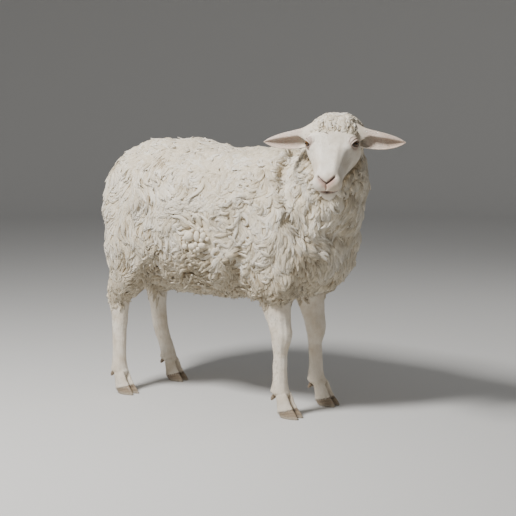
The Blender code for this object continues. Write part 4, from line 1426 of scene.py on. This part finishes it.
# Hoof horn: hard keratin grown in layers, so the eye sees brown-grey bands along the coronet,
# fine upright fibres, a soft half gloss where it is whole and dull scuffs near the ground.
HORN_PALE, HORN_DARK, HORN_WORN = "#A39179", "#66574A", "#AFA391"
FIBRE_WIDTH = 0.0007
horn, tree, shader = new_material("hoof_horn", IOR=1.54)
wall_map = node(tree, "UVMap", {"uv_map": "wall"}).outputs["UV"]
grains = []
for detail, scale in ((3.0, (20.0, 1 / GROWTH_RING, 1.0)), (2.0, (1 / FIBRE_WIDTH, 60.0, 1.0))):
    stretched = node(tree, "Mapping", Vector=wall_map, Scale=scale).outputs["Vector"]
    grains.append(node(tree, "TexNoise", Vector=stretched, Scale=1.0, Detail=detail).outputs["Fac"])
bands, fibres = grains
shade = node(tree, "Math", {"operation": "MULTIPLY_ADD"}, (fibres, 0.35, bands)).outputs[0]
horn_ramp = node(tree, "ValToRGB", values=(shade,), stops=((0.45, HORN_DARK), (0.85, HORN_PALE)))
place = node(tree, "TexCoord").outputs["Object"]
ground = node(tree, "SeparateXYZ", Vector=place).outputs["Z"]
scuffs = node(tree, "TexNoise", Vector=place, Scale=260.0, Detail=4.0).outputs["Fac"]
scuffed = node(tree, "Math", {"operation": "MULTIPLY_ADD"}, (scuffs, -0.014, ground)).outputs[0]
scuffed = node(tree, "MapRange", {}, (scuffed, -0.006, 0.003, 1.0, 0.0)).outputs[0]
colours = {0: scuffed, 6: horn_ramp.outputs["Color"], 7: colour(HORN_WORN)}
horn_mix = node(tree, "Mix", {"data_type": "RGBA"}, colours)
dull = node(tree, "MapRange", {}, (scuffed, 0.0, 1.0, 0.38, 0.75)).outputs[0]
horn_bump = node(tree, "Bump", Strength=0.5, Distance=0.0003, Height=shade).outputs["Normal"]
feed(shader, Base_Color=horn_mix.outputs[2], Roughness=dull, Normal=horn_bump)

for leg in FEET:
    for place in ("inner", "outer"):
        for kind, surface in (("claw", claw_surface), ("dewclaw", dewclaw_surface)):
            rings, wall_places = surface(leg, place)
            name = f"horn_{kind}_{leg}_{place}"
            hoof = shown(name, closed_tube(name, rings), horn)
            fill_layers(hoof.data, wall=wall_places)
            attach(hoof, "root")
            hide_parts(f"{kind}_{leg}_{place}")

# Short hair
# Face, ears and lower legs carry hair 6 to 12 mm long that lies flat: small pointed tufts with
# the lie of the coat, a fringe over each coronet, longer wisps behind the legs and in the ears.

TUFT_RINGS = 4
TUFT_SECTION = np.array(((-1, 0), (0, 1.0), (1, 0)))
TUFTS = {
    # how many, length, width, thickness, lift of the tip
    "face": (5200, 0.0080, 0.0009, 0.00018, 0.0001),
    "ears": (3600, 0.0075, 0.0009, 0.0002, 0.0003),
    "fore_legs": (4600, 0.0085, 0.0010, 0.0002, 0.0003),
    "hind_legs": (4600, 0.0085, 0.0010, 0.0002, 0.0003),
}
FRINGE_COUNT, FRINGE_LENGTH = 54, 0.0075
HAIR_TRIES = 150000
BARE_LIDS = 0.0178
SOLE_TO_HAIR = 0.030


def haired_spots(dice):
    """Random places on the skin that wool leaves free, the way out there and their tuft kind."""
    picked = picked_triangles(skin_mesh, dice, HAIR_TRIES)
    share = dice.dirichlet((1, 1, 1), len(picked))[..., None]
    points = (skin_points[picked] * share).sum(axis=1)
    way = unit((normals_of(skin_mesh)[picked] * share).sum(axis=1))
    thin = np.maximum(flush, dusk)[picked].mean(axis=1)
    places, over = head_places(points), points - BODY
    u, v, w = places.T
    ear = (np.abs(v) > EAR_START) & (np.abs(v) < EAR_END)
    ear &= np.hypot(u - 0.028, w - 0.002) < EAR_REACH
    bald = baldness(points) > 0.55
    kinds = np.select(
        [ear, bald & (over[:, 2] > 0.5), bald & (over[:, 1] < 0), bald],
        ["ears", "face", "fore_legs", "hind_legs"], "none",
    )
    for side in (-1, 1):
        from_eye = size_of(places - eye_axes(side)[0])
        kinds = np.where(from_eye < BARE_LIDS, "none", kinds)
    kinds = np.where((thin > 0.55) & (dice.random(len(points)) < 0.9) & ~ear, "none", kinds)
    return points, way, np.where(over[:, 2] < SOLE_TO_HAIR, "none", kinds)


def lie_of_hair(points, kind):
    """The way short hair points: down the face to the nose, out along the ears, down the legs."""
    v = head_places(points)[:, 1]
    if kind == "ears":
        return LEFT * np.sign(v)[:, None] + np.array((0, 0, -0.25))
    if kind == "face":
        aside = 0.35 * np.sign(v) * rise(np.abs(v), 0.0, 0.04)
        return NOSE + LEFT * aside[:, None] - CROWN * 0.25
    return np.tile((0.0, 0.12, -1.0), (len(points), 1))


def fringes(leg, dice):
    """Roots and ways out of the hairs that hang over one foot's horn, two rows to a toe."""
    found = []
    for place in ("inner", "outer"):
        for row in (0.0022, 0.0050):
            angle = (np.arange(FRINGE_COUNT) + dice.random(FRINGE_COUNT)) * 2 * pi / FRINGE_COUNT
            height = coronet(angle) + row + 0.0008 * dice.normal(size=FRINGE_COUNT)
            here = toe_surface(leg, place, angle, height, 0.0010)
            further = toe_surface(leg, place, angle, height, 0.0030)
            found.append((here, further - here))
    places, ways = (np.concatenate(rows) for rows in zip(*found))
    return places, unit(ways)


def tuft_piece(kind, points, way, dice):
    """One mesh of tufts: each leaves the skin, lies along it and lifts a little at its point."""
    count, length, width, thick, lift = TUFTS[kind]
    points, way = points[:count], way[:count]
    over = points - BODY
    size = np.full(len(points), 1.0)
    if kind == "face":
        size = 0.45 + 0.55 * rise(0.185 - head_places(points)[:, 0], 0.005, 0.10)
    if kind == "ears":
        size = 1 - 0.5 * rise(np.abs(head_places(points)[:, 1]), 0.12, 0.17)
    if kind.endswith("legs"):
        behind = rise(way[:, 1], 0.35, 0.8) * rise(over[:, 2], 0.30, 0.20)
        size = 0.75 + 0.25 * rise(over[:, 2], 0.04, 0.12) + 0.55 * behind
        for leg in FEET:
            if leg.startswith(kind[:4]):
                edge, out = fringes(leg, dice)
                points, way = np.vstack([points, edge]), np.vstack([way, out])
        size = np.append(size, np.full(len(points) - len(size), FRINGE_LENGTH / length))
    long = length * size * dice.uniform(0.75, 1.3, len(points))
    lie = lie_of_hair(points, kind) + 0.11 * dice.normal(size=points.shape)
    lie = unit(lie - way * (lie * way).sum(axis=1, keepdims=True))
    share = np.linspace(0, 1, TUFT_RINGS)
    height = -0.0004 + 0.0005 * share**0.7
    raised = (lift * size * dice.uniform(0.3, 1.7, len(points)))[:, None] * share**2
    line = points[:, None] + lie[:, None] * (long[:, None] * share)[..., None]
    lying = line[: len(over)]
    line[: len(over)] = nearest_on(skin, lying.reshape(-1, 3)).reshape(lying.shape)
    line = line + way[:, None] * (height[None, :] + raised)[..., None]
    out = np.repeat(way[:, None], TUFT_RINGS, axis=1)
    on_leg = kind.endswith("legs")
    tone = np.clip(0.6 + 0.2 * dice.normal(size=len(points)), 0, 1)
    chart, twist = unwrapped(points, on_leg, not on_leg), 0.3 * dice.normal(size=len(points))
    wide, thick = width * (0.6 + 0.4 * size), np.full(len(points), thick)
    return lock_mesh(f"hair_{kind}", line, out, long, wide, thick, tone, chart, twist, TUFT_SECTION)


# Short hair: the same cream-white as the hide it lies on, in the same patches, a little paler
# and glossier at the points, so the eye sees a fine lying grain and not separate hairs.
short_coat, tree, shader = new_material("short_white_hair", Roughness=0.62, IOR=1.5)
place = node(tree, "TexCoord").outputs["Object"]
hair_base = hair_patches(tree, place)
tipward = node(tree, "Attribute", {"attribute_name": "tipward"}).outputs["Fac"]
tone = node(tree, "Attribute", {"attribute_name": "tone"}).outputs["Fac"]
paler = node(tree, "Math", {"operation": "MULTIPLY"}, (tipward, tone)).outputs[0]
paler = node(tree, "Math", {"operation": "MULTIPLY"}, (paler, 0.55)).outputs[0]
pointed = node(tree, "Mix", {"data_type": "RGBA"}, {0: paler, 6: hair_base, 7: colour(HAIR_POINT)})
feed(shader, Base_Color=pointed.outputs[2])

dice = np.random.default_rng(51)
hair_points, hair_way, hair_kind = haired_spots(dice)
for kind in TUFTS:
    mine = hair_kind == kind
    mesh = tuft_piece(kind, hair_points[mine], hair_way[mine], dice)
    tufts = shown(f"hair_{kind}", mesh, short_coat)
    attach(tufts, "root")
